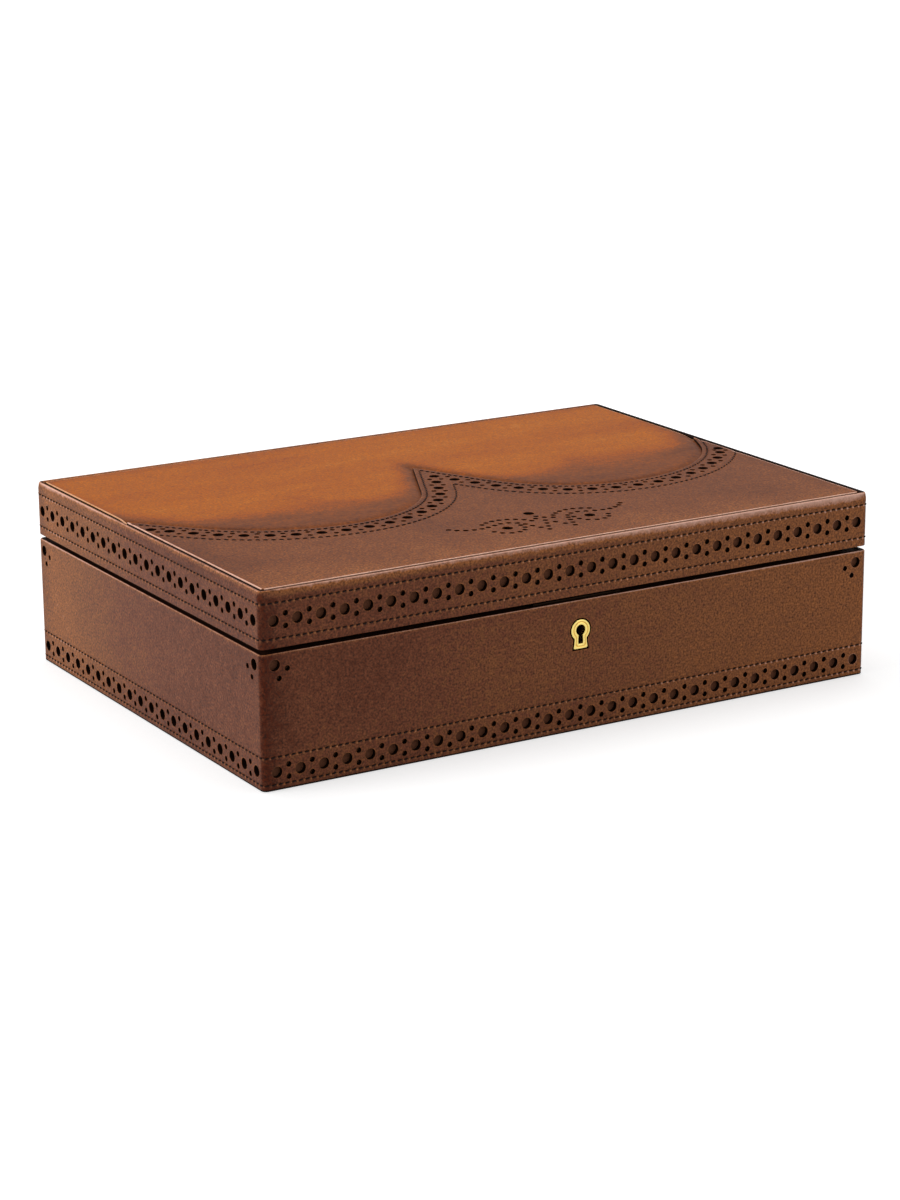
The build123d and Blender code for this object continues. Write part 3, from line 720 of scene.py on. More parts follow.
def wall_leather(name, skin, face_top, rows, openings, inked_where, tone_of_height, highlight_line, body, node):
    """A skin of leather round the box. Its rolled edges are grids along the section, its punched and
    stitched face is filled between them round the openings, and its back lies a leather's depth in.
    A painted highlight runs in a line at one depth of the section, above a height."""
    shell, columns = Shell(), wall_columns()
    foot = skin.at_height(0.0)
    face_low, face_high = skin.face_start + face_margin, skin.at_height(face_top)
    stitch_rows = np.array([skin.at_height(z) for z in rows])
    highlight_depth, highlight_from = highlight_line

    def over_rows(effect, u, v):
        return sum(effect(v - row, (u - seam) * stitch_pitch / wall_pitch) for row in stitch_rows)

    def relief(u, v):
        return over_rows(stitch_relief, u, v)

    def tone(u, v):
        depth, z = skin.section(skin.points, v)
        # The painted highlight line, and the painted highlight spots of the stitches.
        line = highlight_strength * bell(depth - highlight_depth, highlight_width) * (z > highlight_from)
        return tone_of_height(u, z) - over_rows(stitch_highlight, u, v) - line

    steps = np.arange(face_high, skin.face_end, edge_step)
    low_edge = np.append(skin.lengths[skin.lengths < face_low - edge_gap], face_low)
    high_edge = np.append(steps, skin.lengths[skin.lengths > steps[-1] + edge_gap])
    for lengths in (low_edge, high_edge):
        v, u = pairs(lengths, columns)
        section = skin.section(skin.points, (lengths[:-1, None] + lengths[1:, None]) / 2)
        inked = inked_where((columns[:-1] + columns[1:]) / 2, *section).astype(int).reshape(-1)
        shell.add(skin.place(u, v, relief(u, v)), grid_faces(*u.shape), tone(u, v), inked)

    openings = [loops + [0, foot] for loops in openings]
    holes, backs = punch_through(shell, skin.place, relief, tone, openings, leather)
    ends = np.sort(np.append(np.linspace(face_low, face_high, end_count), stitch_rows))[1:-1]
    outline = np.concatenate([
        together(columns, face_low), together(seam + girth, ends),
        together(columns, face_high)[::-1], together(seam, ends)[::-1],
    ])
    fine = seam + np.arange(1, pitch_count * lane_steps) * wall_pitch / lane_steps
    near_rows = lattice(fine, (stitch_rows[:, None] + face_lanes).reshape(-1))
    round_corners = columns[np.abs(past_corners(columns)).min(-1) < corner_arc]
    heights = np.arange(face_low + 1.5, face_high - 1, grid_step)
    heights = heights[np.abs(heights[:, None] - stitch_rows).min(1) > grid_clear]
    inside = clear_of(holes, np.concatenate([near_rows, lattice(round_corners, heights)]))
    points, faces = fill_outline([outline, *holes], inside)
    u, v = points.T
    shell.add(skin.place(u, v, relief(u, v)), faces, tone(u, v))

    low, high = foot + skin.points[[0, -1], 1]
    outline = np.concatenate([together(columns, low), together(columns, high)[::-1]])
    points, faces = fill_outline([outline, *backs])
    back = together(*wrap(points[:, 0], leather), points[:, 1] - foot)
    shell.add(back, faces[:, ::-1], back_tone, 1)
    leather_piece(shell, name, side_calf, body, "side_leather", node)


def stitches(name, place, runs, body, slot):
    """Saddle stitches: each is a tube along its row whose line is an arch between two needle holes,
    turned a little out of the row. A run holds places along the row, and the row's place across."""
    t, angle = pairs(np.linspace(-1, 1, stitch_rings), circle(stitch_sides))
    thick = thread_radius * np.sqrt(1 - stitch_taper * t**4)
    tube = grid_faces(*t.shape, closed=True)[:, ::-1]
    ends = np.array([np.arange(stitch_sides), t.size - 1 - np.arange(stitch_sides)])
    shell = Shell()
    for along, across in runs:
        u = along[:, None, None] + 0.5 * stitch_length * t
        v = across + stitch_slant * t + thick * np.cos(angle)
        w = -stitch_sink - stitch_arch * t**4 + thick * np.sin(angle)
        for faces in (tube, ends):
            shell.add(place(u, v, w), many(faces, t.size, len(along)))
    shell.piece(name, [waxed_thread], body, slot, sharp=80)


# The leather band of the lid, with a padded shoulder between its upper stitches and its rim.
band_foot, band_top = band_low[2], band_high[2]
band_middle_z, band_face_top, shoulder_middle_z = 80, 95.2, 98.0
cut_depth, right_rim_depth, near_back = 0.9, 0.5, 0.02
band_skin = WallSkin(
    [(leather, band_foot), (0, band_foot), (0, shoulder_z), (rim_line_depth, band_top - rim_line_drop),
     (rim_level_depth, band_top), (leather, band_top), (leather, rim_foot_z)],
    [foot_radius, shoulder_radius, rim_line_radius, rim_line_radius, rim_inner_radius],
)


def band_inked(u, depth, z):
    """The cut edges below and inside the rim, with the rounding of its top, where the ink also paints the
    groove's shade, and on the right side the rim's whole top, inked as painted shade. At the back the inside
    of the rim keeps its dye."""
    at_back = np.abs(np.mod(u + girth / 2, girth) - girth / 2) < flat_x
    at_right = np.abs(u - side_middles["right"][0]) < flat_y
    top = z > band_top - rim_inner_radius
    inner = top & (depth > leather - rim_inner_radius) | (depth > leather - near_back)
    below = (z < band_middle_z) & (depth > cut_depth)
    # On the right the rim's top is inked as painted shade.
    return inner & ~(at_back & top) | below | at_right & top & (depth > right_rim_depth)


def band_tone(u, z):
    """The walls' tone, with a painted highlight on the padded shoulder at the front and painted shade
    on it at the sides, and a line of painted shade just above the upper stitches."""
    at_front = np.clip((flat_x + 3 - np.abs(u - front_middle)) / 6, 0, 1)
    # Painted highlight on the shoulder at the front, painted shade on it at the sides.
    shoulder = bell(z - shoulder_middle_z, 1.8) * (0.1 - 0.52 * at_front)
    return wall_tone(u, z, band_foot, band_top + 3) + shoulder + 0.1 * bell(z - band_face_top, 0.9)


large, pips = perforated_row(lid_row_z)
# The lid's leather, with a painted highlight along its rim line.
wall_leather(
    "lid_leather", band_skin, band_face_top, lid_stitch_z,
    [punches(large, punch_radius), punches(pips, *small_punch)],
    band_inked, band_tone, (0.5 * (rim_line_depth + rim_level_depth), band_top - 3), "lid", "lid_band",
)

# The leather cover of the base, punched along its foot and at its upper corners.
cover_foot, cover_top = cover_low[2], cover_high[2]
cover_skin = WallSkin(
    [(leather, cover_foot), (0, cover_foot), (0, cover_top), (leather, cover_top),
     (leather, cover_top - 0.5)],
    [foot_radius, cover_radius, 0.01],
)


def cover_inked(u, depth, z):
    """The cut edges above and below the cover, at every place along it, and everything below 1 mm, inked as
    painted contact shadow.
    """
    return (depth > cut_depth) | (z < 1) & (u > 0)


def cover_tone(u, z):
    return wall_tone(u, z, cover_foot, cover_top)


# The brass inlay and its keyhole: reaches from the inlay's middle, by the angle.
inlay_x, inlay_z = np.cos(inlay_angles), np.sin(inlay_angles)
inlay_down, inlay_away = np.maximum(-inlay_z, tiny), np.maximum(np.abs(inlay_x), tiny)


def head_and_body(head_z, radius, foot_z, to_side):
    """The larger reach of a round head and of a body, which ends at its foot or at its side."""
    lift = inlay_middle_z - head_z
    head = -lift * inlay_z + np.sqrt(np.maximum(radius**2 - lift**2 * inlay_x**2, 0))
    body = np.minimum((inlay_middle_z - foot_z) / inlay_down, to_side)
    return np.maximum(head, np.where(inlay_z < 0, body, 0))


def inlay_reach(grow):
    """Reach of the inlay's outline, grown all round. Its body flares with the square of the depth
    towards the foot, which is met by halving steps."""
    half = inlay_waist + grow
    to_side = half / inlay_away
    for _ in range(12):
        above_foot = inlay_middle_z - to_side * inlay_down - inlay_foot_z
        flare = (inlay_foot - inlay_waist) * (1 - np.clip(above_foot / inlay_flare_height, 0, 1)) ** 2
        to_side = 0.5 * to_side + 0.5 * (half + flare) / inlay_away
    return head_and_body(inlay_head_z, inlay_head + grow, inlay_foot_z - grow, to_side)


def keyhole_reach():
    """Reach of the keyhole's outline: its slot widens evenly towards the foot."""
    flare = keyhole_flare / (keyhole_z - keyhole_foot_z)
    half = keyhole_half_width + flare * (keyhole_z - inlay_middle_z)
    to_side = half / np.maximum(np.abs(inlay_x) - flare * inlay_down, tiny)
    return head_and_body(keyhole_z, keyhole_radius, keyhole_foot_z, to_side)


def round_inlay(reach):
    """(Place, height) on the wall at a reach from the inlay's middle."""
    return together(front_middle + reach * inlay_x, inlay_middle_z + reach * inlay_z)


large, pips = perforated_row(base_row_z)
motif, motif_pips = corner_motif(corner_punch_z)
inlay_opening = np.stack([round_inlay(inlay_reach(inlay_play + grow)) for grow in lip_grow])
# The base's leather, with a painted highlight along its top edge.
wall_leather(
    "base_leather", cover_skin, cover_top - 1.3, base_stitch_z,
    [punches(large, punch_radius), punches(pips, *small_punch), punches(motif, punch_radius),
     punches(motif_pips, *small_punch), inlay_opening[None]],
    cover_inked, cover_tone, (0.3, cover_top - 1), "base", "base_cover",
)

# Stitches of the walls.
places = seam + (np.arange(pitch_count) + 0.5) * wall_pitch
lid_runs = [(places, band_skin.at_height(z)) for z in lid_stitch_z]
stitches("lid_band_stitches", band_skin.place, lid_runs, "lid", "side_leather")
base_runs = [(places, cover_skin.at_height(z)) for z in base_stitch_z]
stitches("base_cover_stitches", cover_skin.place, base_runs, "base", "side_leather")

# The brass: its outline shrinks to the keyhole's through a rounded edge and a shallow ring.
shares = np.array([0, 0, 0.04, 0.12, 0.34, 0.46, 0.58, 0.86, 0.96, 1.0, 1.0])
rises = np.array([-2.3, -0.05, 0.2, 0.3, 0.3, 0.1, 0.3, 0.3, 0.2, -0.05, -2.3])
outer, inner = inlay_reach(0), keyhole_reach()
around = round_inlay(outer + (inner - outer) * shares[:, None])
u, v = around[..., 0], cover_skin.at_height(around[..., 1])
rings, sides = u.shape
shell = Shell()
# The shallow ring takes the darker satin brass, which also paints the groove's shade.
shallow_ring = np.repeat([0, 0, 0, 0, 1, 1, 0, 0, 0, 0], sides)
shell.add(cover_skin.place(u, v, rises[:, None]), grid_faces(rings, sides, closed=True), 0, shallow_ring)
back = together(np.arange(sides), (np.arange(sides) + 1) % sides)
shell.add_faces(np.concatenate([back[:, ::-1], back + (rings - 1) * sides], 1))
keyhole_inlay = shell.piece("keyhole_inlay", [brass, cast_brass], "base", "brass", sharp=60)
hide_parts("escutcheon")


# The top: sheets cut to an outline in plan, with rolled edges.
def inset_loop(loop, inset):
    """An outline moved inwards by the mitre of its two sides at each corner."""
    sides = unit(np.roll(loop, -1, 0) - loop)
    normals = together(-sides[:, 1], sides[:, 0])
    mitre = np.roll(normals, 1, 0) + normals
    return loop + inset * mitre / np.maximum((mitre * normals).sum(1), 0.3)[:, None]


# Rings of a sheet's cut edge: how far in and how far below its face, but for the first ring, which
# lies a hair below the back. Round the outline the edge has a painted highlight of its own, and along
# the W it is inked, with a change to a thin painted highlight on its lip.
sheet_insets = np.array([0.0, 0.0, 0.08, 0.25, 0.6, 0.76])
sheet_drops = np.array([0.0, -0.5, -0.15, -0.03, 0.0, 0.0])
edge_depth_share = 1.01
outline_edge_highlight = np.array([0.5, -0.3, -0.6, -0.65, -0.45])
wing_ink_and_highlight = np.array([0.5, 0.5, 0.3, -0.2, -0.3, 0.0])


def top_sheet(name, loop, top_z, thickness, relief, tone, openings, inside, calf, node, slot):
    """A flat sheet on the lid: an outline with a rolled edge, its punches, and its relief."""
    shell = Shell()

    def place(u, v, w):
        return together(u, v + mid_y, top_z + w)

    loops = np.stack([inset_loop(loop, inset) for inset in sheet_insets])
    u, v = loops[..., 0], loops[..., 1]
    height = sheet_drops[:, None] + relief(u, v)
    height[0] = -edge_depth_share * thickness
    at_edge = (np.abs(loop) > np.array([sheet_x, sheet_y]) - 0.01).any(1)
    # Ink and a painted highlight along the W's edge, and a painted highlight round the outline.
    tones = tone(u, v) + wing_ink_and_highlight[:, None] * ~at_edge
    tones[:-1, at_edge] = outline_edge_highlight[:, None]
    inked = np.zeros((len(loops) - 1, len(loop)), int)
    inked[0], inked[1] = 1, ~at_edge
    shell.add(place(u, v, height), grid_faces(*u.shape, closed=True), tones, inked.reshape(-1))
    holes, backs = punch_through(shell, place, relief, tone, openings, thickness)
    points, faces = fill_outline([loops[-1], *holes], inside)
    u, v = points.T
    shell.add(place(u, v, relief(u, v)), faces, tone(u, v))
    points, faces = fill_outline([loops[0], *backs])
    shell.add(place(*points.T, -thickness), faces[:, ::-1], back_tone, 1)
    leather_piece(shell, name, calf, "lid", slot, node)


def sheet_outline(move, front_side):
    """The W moved back by move and closed round the front or the back of the top, anticlockwise."""
    corner = max(corner_radius - panel_inset, 1.2)
    step, margin, onward = 1.5, 2.0, 0.6
    sides = {}
    for side in (-1, 1):
        lengths = wing_row(side, move, step, margin)
        points = wing_place(side, lengths, move)
        beyond = wing_place(side, lengths[-1] + onward, move)
        slope = (beyond - points[-1]) / np.abs(beyond[0] - points[-1, 0])
        last = points[-1] + slope * (sheet_x - np.abs(points[-1, 0]))
        sides[side] = np.concatenate([points, last[None]])
    edge = np.concatenate([sides[-1][::-1], sides[1][1:]])
    angle = np.linspace(0, np.pi / 2, 7)
    right = [sheet_x, sheet_y] + corner * (together(np.cos(angle), np.sin(angle)) - 1)
    right = right * [1, -1 if front_side else 1]
    left = right[::-1] * [-1, 1]
    straight = np.linspace(right[-1], left[0], 60)[1:-1]
    closer = np.linspace(0.15, 1, 26)[:-1, None] ** 2
    right_side = edge[-1] + (right[0] - edge[-1]) * closer
    left_side = edge[0] + (left[-1] - edge[0]) * closer
    loop = np.concatenate([edge, right_side, right, straight, left, left_side[::-1]])
    return loop[::-1] if front_side else loop


# The holes of the cap: a large punch at the apex, then along each wing, with pairs between them.
wing_large, wing_pips = [np.array([[cap_axis, apex_y]])], []
for side in (-1, 1):
    travels = np.append(np.arange(0, wing_row_end[side], wing_pitch), wing_row_end[side])
    row = wing_place(side, travels[1:], 0)
    row[:, 0] = np.clip(row[:, 0], wing_side_margin - half_x, half_x - wing_side_margin)
    wing_large.append(row)
    for move in (-pip_offset, pip_offset):
        wing_pips.append(wing_place(side, (travels[:-1] + travels[1:]) / 2, move))
wing_large, wing_pips = np.concatenate(wing_large), np.concatenate(wing_pips)
shared = np.flatnonzero(np.abs(wing_pips[:, 0] - cap_axis) < 1)  # both wings place the one below the apex
wing_pips = np.delete(wing_pips, shared[1:], axis=0)


# The medallion, a traditional one of scrolls: arcs of pips, mirrored about the cap's axis.
def pip_arc(centre, radius, start, step, count):
    """Evenly turned places on an arc."""
    angle = np.radians(start + step * np.arange(count))
    return together(centre[0] + radius * np.cos(angle), centre[1] + radius * np.sin(angle))


scroll = np.concatenate([
    pip_arc((-22.5, -91.6), 9.95, 120.5, -26.0, 5),
    pip_arc((-25.3, -91.1), 9.4, 11.0, -29.3, 7),
    pip_arc((-21.9, -91.9), 17.0, 128.6, -14.8, 8),
    np.linspace((-11.5, -93.4), (-7.7, -103.6), 3)[:2],
    np.linspace((-7.7, -103.6), (2.57, -82.2), 5)[[0, 1, 2, 4]],
    pip_arc((-38.0, -68.1), 17.2, -70.2, -14.8, 6),
])
spine = np.array([[0.0, -87.6], [0.0, -78.5]])
medallion = np.concatenate([spine, scroll, scroll * [-1, 1]]) + [cap_axis, 0]
medallion_large = np.array([[0, -71.5], [-24.8, -90.8], [24.8, -90.8]]) + [cap_axis, 0]


def cap_relief(x, y):
    """Grooves of the two stitch rows that follow the W."""
    travel, move = wing_coordinates(x, y)
    return sum(stitch_relief(move - row, travel - row_start(row)) for row in cap_stitch_moves)


def cap_tone(x, y):
    """Tone of the cap: darker along the W's edge and at both ends, and lighter towards the front, which is a
    painted highlight.
    """
    _, move = wing_coordinates(x, y)
    seam_shade, end_shade = fade(cap_margin - move, 6), fade(sheet_x - np.abs(x), 5)
    # The lighter front is a painted highlight.
    return 0.52 + 0.12 * seam_shade + 0.12 * end_shade - 0.3 * fade(sheet_y + y, 24)


# Along the W, how widely the tan darkens beside the cap's seam.
shade_travels = [20, 45, 75, 100, 122, 160, 200, 225]
shade_widths = [8, 18, 44, 56, 54, 44, 34, 14]


def rear_tone(x, y):
    """Burnish of the rear panel: the tan darkens towards the cap's seam, far more widely at the lows
    of the W than at its apex, and a little at the back left; at the outline it is darkened as painted
    shadow of the rim."""
    travel, move = wing_coordinates(x, y)
    edge = np.minimum(half_x - np.abs(x), half_y - y) - panel_inset
    width = np.interp(travel, shade_travels, shade_widths)
    seam_shade = np.exp(-(np.maximum(move - cap_margin, 0) / width) ** 2.4)
    back_left = fade(half_y - y, 12) * np.clip(-x / 100, 0, 1)
    # The darkening at the outline is painted shadow of the rim.
    return 0.14 + 0.6 * seam_shade + 0.2 * fade(edge, 3) + 0.16 * back_left


cap_inside = np.concatenate([
    wing_points(side, move + lane, stitch_pitch / 8, 1.2)
    for side in (-1, 1) for move in cap_stitch_moves for lane in (-1.4, -0.9, -0.5, 0.0, 0.5, 0.9, 1.4)
])
field = lattice(np.arange(-170, 171, 8.0), np.arange(-118, 20, 8.0))
cap_holes = np.concatenate([wing_large, wing_pips, medallion, medallion_large])
far = np.linalg.norm(field[:, None] - cap_holes, axis=2).min(1) > 5
field = field[(wing_move(field) < -11) & far]
cap_inside = np.concatenate([cap_inside[wing_move(cap_inside) < cap_margin - 1.0], field])
top_sheet(
    "cap_leather", sheet_outline(cap_margin, True), cap_top, top_leather, cap_relief, cap_tone,
    [punches(wing_large, punch_radius, share=0.6), punches(wing_pips, *small_punch),
     punches(medallion_large, medallion_radius), punches(medallion, medallion_pip, 12, 0.12)],
    cap_inside, cap_calf, "wing_cap", "cap_leather",
)

rear_grid = lattice(np.arange(-172, 173, 4.0), np.arange(-60, 124, 4.0))
rear_grid = rear_grid[wing_move(rear_grid) > cap_margin + 9]
near_seam = [
    wing_points(side, cap_margin + move, 3.0, 1.5)
    for side in (-1, 1) for move in (-3.0, -1.0, -0.2, 0.6, 1.5, 3.0, 5.0, 7.0)
]
rear_top = cap_top - 0.1
skived_top, skive_start, skive_reach = panel_high[2] - 0.05, cap_margin - 0.2, 3.2


def rear_relief(x, y):
    """The rear panel is skived where the cap laps over it, and rises to its full depth in about 8 mm."""
    _, move = wing_coordinates(x, y)
    return (skived_top - rear_top) * np.exp(-(np.maximum(move - skive_start, 0) / skive_reach) ** 1.5)


top_sheet(
    "rear_leather", sheet_outline(cap_margin - tan_overlap, False), rear_top, rear_top - panel_low[2],
    rear_relief, rear_tone, [], np.concatenate([rear_grid, *near_seam]), rear_calf,
    "rear_panel", "tan_leather",
)


def cap_stitch_place(side):
    """Places of a wing's stitches on the cap: along the wing, across it, and up."""
    def place(u, v, w):
        points = wing_place(side, u, v)
        return together(points[..., 0], points[..., 1] + mid_y, cap_top + w)
    return place


for side, side_name in ((-1, "left"), (1, "right")):
    runs = []
    for move in cap_stitch_moves:
        lengths = row_start(move) + (np.arange(110) + 0.5) * stitch_pitch
        across_top = np.abs(wing_place(side, lengths, move)[:, 0])
        runs.append((lengths[across_top < sheet_x - 2.0], move))
    stitches(f"{side_name}_wing_stitches", cap_stitch_place(side), runs, "lid", "cap_leather")


# Finishes of the CAD pieces that show as they are.
finishes = {
    "sole": felt, "wood": stained_wood, "dark_lining_leather": lining_hide, "suede": suede,
    "padded_suede": suede, "brass": cast_brass, "screw_brass": cast_brass,
    "side_leather": side_calf, "tan_leather": rear_calf, "cap_leather": cap_calf,
}
lock_nodes = ("lock_case", "lock_plate", "lock_bolt", "strike_plate", "lock_screws", "strike_screws")
# The cap's underlay and the lock parts take near-black finishes that paint shade.
single_finishes = {"cap_underlay": shade_black_hide, **dict.fromkeys(lock_nodes, shade_black_brass)}
for row in frame["record"]["subparts"]:
    data = frame["nodes"][row["node"]].data
    data.materials.clear()
    data.materials.append(single_finishes.get(row["node"], finishes[row["material_slot"]]))


# The watch cushions and the lid's pad.
def unstuffed_roll(size, power=2.8, columns=28, around=40):
    """A roll before it is stuffed: a superellipse across, which draws in as a fifth power towards
    both ends, with a flat panel sewn in at each end."""
    length, depth, height = size
    t, turn = pairs(np.linspace(-1, 1, columns), circle(around))
    draw = 1 - 0.2 * np.abs(t) ** 5
    across, up = (np.sign(part) * np.abs(part) ** (2 / power) for part in (np.cos(turn), np.sin(turn)))
    points = together(0.5 * length * t, 0.5 * depth * draw * across, 0.5 * height * draw * up)
    ends = [np.arange(around).tolist(), (np.arange(around)[::-1] + (columns - 1) * around).tolist()]
    return points.reshape(-1, 3), grid_faces(columns, around, closed=True)[:, ::-1].tolist() + ends


def mesh_arrays(mesh):
    """Points in millimetres and quads of a mesh that has only quads."""
    points = np.empty(len(mesh.vertices) * 3)
    mesh.vertices.foreach_get("co", points)
    corners = np.empty(len(mesh.loops), int)
    mesh.loops.foreach_get("vertex_index", corners)
    return points.reshape(-1, 3) / MM, corners.reshape(-1, 4)


def stuffed_roll(size):
    """The roll swollen by a cloth simulation under inner pressure, then brought to the size."""
    slack, voxel, furthest, pressure, frames, play = 0.94, 3.5, 3.5, 4.0, 20, 0.4
    points, faces = unstuffed_roll(size * slack)
    mesh = bpy.data.meshes.new("unstuffed")
    mesh.from_pydata((points * MM).tolist(), [], faces)
    roll = put("unstuffed", mesh)
    remesh = roll.modifiers.new("weave", "REMESH")
    remesh.mode, remesh.voxel_size = "VOXEL", voxel * MM
    woven = bpy.data.meshes.new_from_object(roll.evaluated_get(bpy.context.evaluated_depsgraph_get()))
    roll.modifiers.clear()
    roll.data = woven
    start, faces = mesh_arrays(woven)
    points = start
    settings = roll.modifiers.new("stuffing", "CLOTH").settings
    settings.quality, settings.mass = 6, 0.2
    settings.tension_stiffness = settings.compression_stiffness = settings.shear_stiffness = 15
    settings.bending_stiffness = 0.5
    settings.use_pressure, settings.uniform_pressure_force = True, pressure
    settings.effector_weights.gravity = 0
    for number in range(1, frames + 1):
        bpy.context.scene.frame_set(number)
    swollen = roll.evaluated_get(bpy.context.evaluated_depsgraph_get())
    move = mesh_arrays(swollen.to_mesh())[0] - start
    reach = np.linalg.norm(move, axis=1)[:, None]
    points = start + move * np.minimum(1, furthest / np.maximum(reach, tiny))
    bpy.context.scene.frame_set(1)
    bpy.data.objects.remove(roll)
    low, high = points.min(0), points.max(0)
    return (points - (low + high) / 2) * (size - play) / (high - low), faces


def welt(points, place, radius=0.8, around=48, sides=6):
    """Piping sewn round a roll at one place along it: a tube along the roll's outline there, whose
    reach in each direction is that of the nearby points, smoothed over their neighbours."""
    near = points[np.abs(points[:, 0] - place) < 3]
    angle = np.arctan2(near[:, 2], near[:, 1])
    gap = np.abs(np.mod(angle - circle(around)[:, None] + np.pi, 2 * np.pi) - np.pi)
    weight = bell(gap, 0.2) * bell(near[:, 0] - place, 1.5)
    reach = (weight * np.hypot(near[:, 1], near[:, 2])).sum(1) / weight.sum(1)
    turn, side = pairs(circle(around), circle(sides))
    out = reach[:, None] + radius * np.cos(side)
    return together(place + radius * np.sin(side), out * np.cos(turn), out * np.sin(turn))


def ring_faces(around, sides):
    """Quads of a tube that closes on itself both ways."""
    faces = grid_faces(around + 1, sides, closed=True)[:, ::-1] % (around * sides)
    return np.roll(faces, 1, axis=1)


low, high = node_box("front_watch_cushion_1")
roll_points, roll_faces = stuffed_roll(high - low)
welt_inset = 4.5
welt_place = 0.5 * (high - low)[0] - welt_inset
for row_name in ("front", "middle"):
    for number in range(1, 6):
        node = f"{row_name}_watch_cushion_{number}"
        low, high = node_box(node)
        middle = (low + high) / 2
        shell = Shell()
        shell.add(roll_points + middle, roll_faces)
        for place in (-welt_place, welt_place):
            tube = welt(roll_points, place)
            shell.add(tube + middle, ring_faces(*tube.shape[:2]))
        name = f"{row_name}_pillow_{number}"
        piece = shell.piece(name, [suede], "base", "padded_suede", sharp=180, weld=False)
        smooth = piece.modifiers.new("smooth", "SUBSURF")
        smooth.levels = smooth.render_levels = 1
        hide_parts(node)

# The pad is flat, and falls away to its least depth at its four tacked edges.
low, high = node_box("lid_pad")
middle, half = (low + high) / 2, (high - low) / 2
pad_columns, pad_rows, least_depth = 90, 64, 1.5
share_x, share_y = np.meshgrid(np.linspace(-1, 1, pad_columns), np.linspace(-1, 1, pad_rows))
crown = (1 - np.abs(share_x) ** 14) * (1 - np.abs(share_y) ** 10)
pad_low = high[2] - least_depth - (high[2] - low[2] - least_depth) * crown ** 0.5
lower = together(middle[0] + share_x * half[0], middle[1] + share_y * half[1], pad_low)
upper = together(lower[..., 0], lower[..., 1], high[2])
number = np.arange(pad_rows * pad_columns).reshape(pad_rows, pad_columns)
rim = np.concatenate([number[0], number[1:, -1], number[-1, -2::-1], number[-2:0:-1, 0]])
shell = Shell()
shell.add(lower, grid_faces(pad_rows, pad_columns)[:, ::-1])
shell.add(upper, grid_faces(pad_rows, pad_columns))
both = np.stack([surface.reshape(-1, 3)[rim] for surface in (lower, upper)])
shell.add(both, grid_faces(2, len(rim), closed=True))
lid_padding = shell.piece("lid_padding", [suede], "lid", "padded_suede")
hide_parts("lid_pad")


# The studio: a white floor and backdrop, soft light, and the photograph's viewpoint.
white = (1, 1, 1, 1)


def bare_tree(owner):
    """The empty node tree of a material or a world."""
    owner.use_nodes = True
    owner.node_tree.nodes.clear()
    return owner.node_tree


def seen_share(tree):
    """1 for rays from the camera, through gloss and through glass, and 0 for rays that only light."""
    rays = add_node(tree, "ShaderNodeLightPath").outputs
    seen = scalar(tree, "ADD", rays["Is Camera Ray"], rays["Is Glossy Ray"])
    return scalar(tree, "MINIMUM", scalar(tree, "ADD", seen, rays["Is Transmission Ray"]), 1.0)


def paper_white(name, near_glow):
    """Matt white paper whose look to the camera, and in gloss, is lifted by a glow: a part of white
    round the object, where its shadow lies, and all of white further out."""
    material = bpy.data.materials.new(name)
    tree = bare_tree(material)
    place = add_node(tree, "ShaderNodeTexCoord").outputs["Object"]
    reach = add_node(tree, "ShaderNodeVectorMath", {"operation": "LENGTH"}, i0=place).outputs["Value"]
    shadow_end, clear_from = 0.38, 0.9
    spread = {"From Min": shadow_end, "From Max": clear_from, "To Min": near_glow, "To Max": 1.0}
    glow = add_node(tree, "ShaderNodeMapRange", spread, Value=reach).outputs[0]
    matt = add_node(tree, "ShaderNodeBsdfDiffuse", {"Color": linear("#C8C8C8")})
    strength = scalar(tree, "MULTIPLY", seen_share(tree), glow)
    light = add_node(tree, "ShaderNodeEmission", {"Color": white}, Strength=strength)
    both = add_node(tree, "ShaderNodeAddShader", i0=matt.outputs[0], i1=light.outputs[0])
    add_node(tree, "ShaderNodeOutputMaterial", Surface=both.outputs[0])
    return material


def build_floor():
    mesh = bpy.data.meshes.new("floor")
    reach = 6.0
    corners = [(-reach, -reach, 0), (reach, -reach, 0), (reach, reach, 0), (-reach, reach, 0)]
    mesh.from_pydata(corners, [], [(0, 1, 2, 3)])
    mesh.materials.append(paper_white("white_paper", 0.6))
    floor = put("floor", mesh)


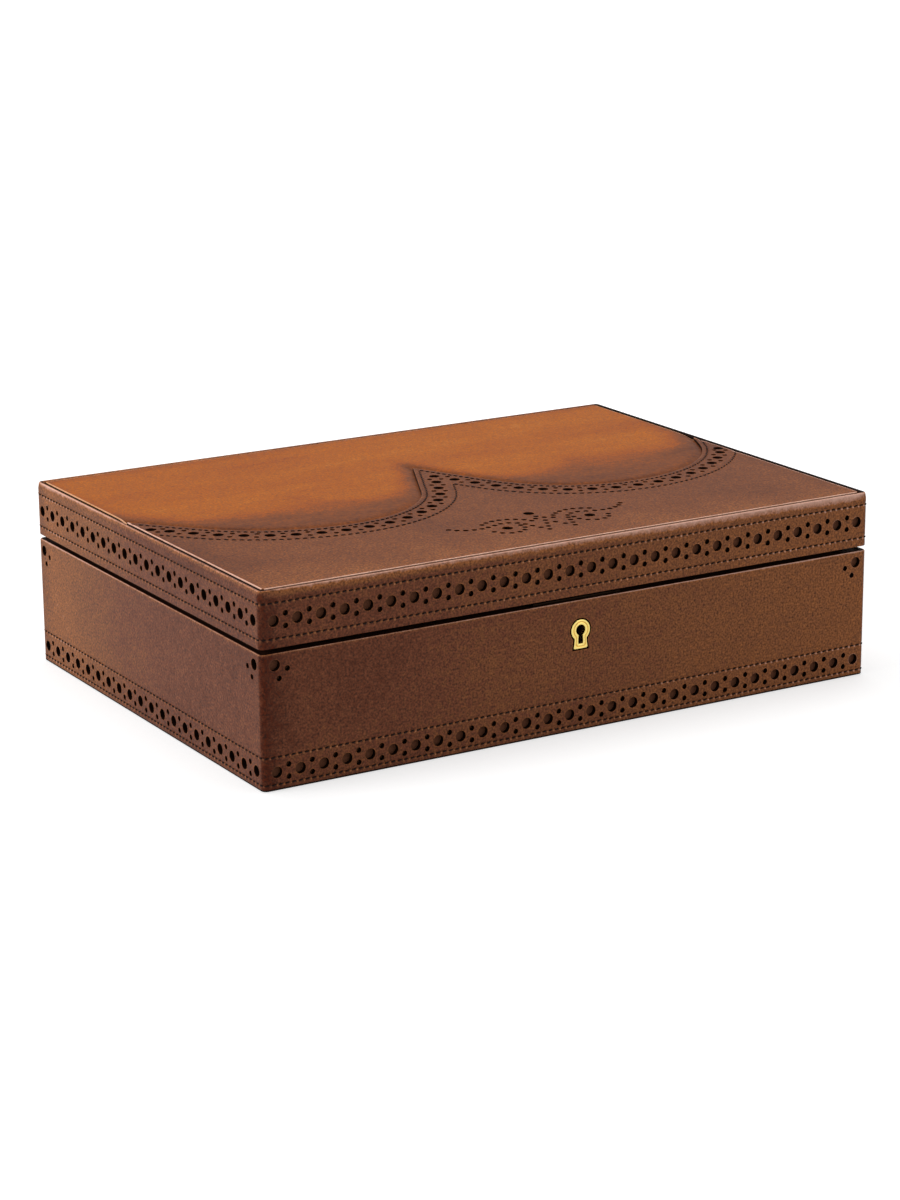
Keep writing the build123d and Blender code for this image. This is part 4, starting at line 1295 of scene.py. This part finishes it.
def build_world():
    world = bpy.data.worlds.new("studio")
    bpy.context.scene.world = world
    tree = bare_tree(world)
    ambient, backdrop = (
        add_node(tree, "ShaderNodeBackground", {"Color": white, "Strength": strength}).outputs[0]
        for strength in (0.30, 1.0)
    )
    mixed = add_node(tree, "ShaderNodeMixShader", Fac=seen_share(tree), i1=ambient, i2=backdrop)
    add_node(tree, "ShaderNodeOutputWorld", Surface=mixed.outputs[0])


def area_light(name, place, target, size, power):
    """A soft rectangular lamp that looks at a target."""
    data = bpy.data.lights.new(name, "AREA")
    data.shape = "RECTANGLE"
    data.size, data.size_y = size
    data.energy = power
    lamp = put(name, data)
    lamp.location = place
    lamp.rotation_euler = (Vector(target) - Vector(place)).to_track_quat("-Z", "Y").to_euler()


def build_camera():
    """The photograph's viewpoint, found from the rows of perforations."""
    azimuth, elevation, roll = np.radians([-30.725, 15.992, -0.431])
    distance, target = 1.67919, Vector((-0.0004, -0.00464, 0.03786))
    focal_px, frame_height_px, sensor_mm = 3129.0, 1200, 36.0
    level = np.cos(elevation)
    back = Vector((np.sin(azimuth) * level, -np.cos(azimuth) * level, np.sin(elevation)))
    right = Vector((0, 0, 1)).cross(back).normalized()
    up = back.cross(right)
    right, up = right * np.cos(roll) + up * np.sin(roll), up * np.cos(roll) - right * np.sin(roll)
    data = bpy.data.cameras.new("photo_view")
    data.sensor_fit = "VERTICAL"
    data.sensor_height = data.sensor_width = sensor_mm
    data.lens = focal_px / frame_height_px * sensor_mm
    camera = put("photo_view", data)
    turn = Matrix((right, up, back)).transposed().to_4x4()
    camera.matrix_world = Matrix.Translation(target + distance * back) @ turn
    bpy.context.scene.camera = camera


build_floor()
build_world()
centre = (0, 0, 0.05)
area_light("top", (0.1, 0.3, 1.7), centre, (1.6, 1.2), 18)
area_light("left_key", (-1.6, 0.2, 0.9), centre, (1.2, 1.0), 14)
area_light("front_fill", (1.0, -1.6, 0.7), centre, (1.2, 1.2), 4.7)
build_camera()
bpy.context.scene.view_settings.view_transform = "Standard"
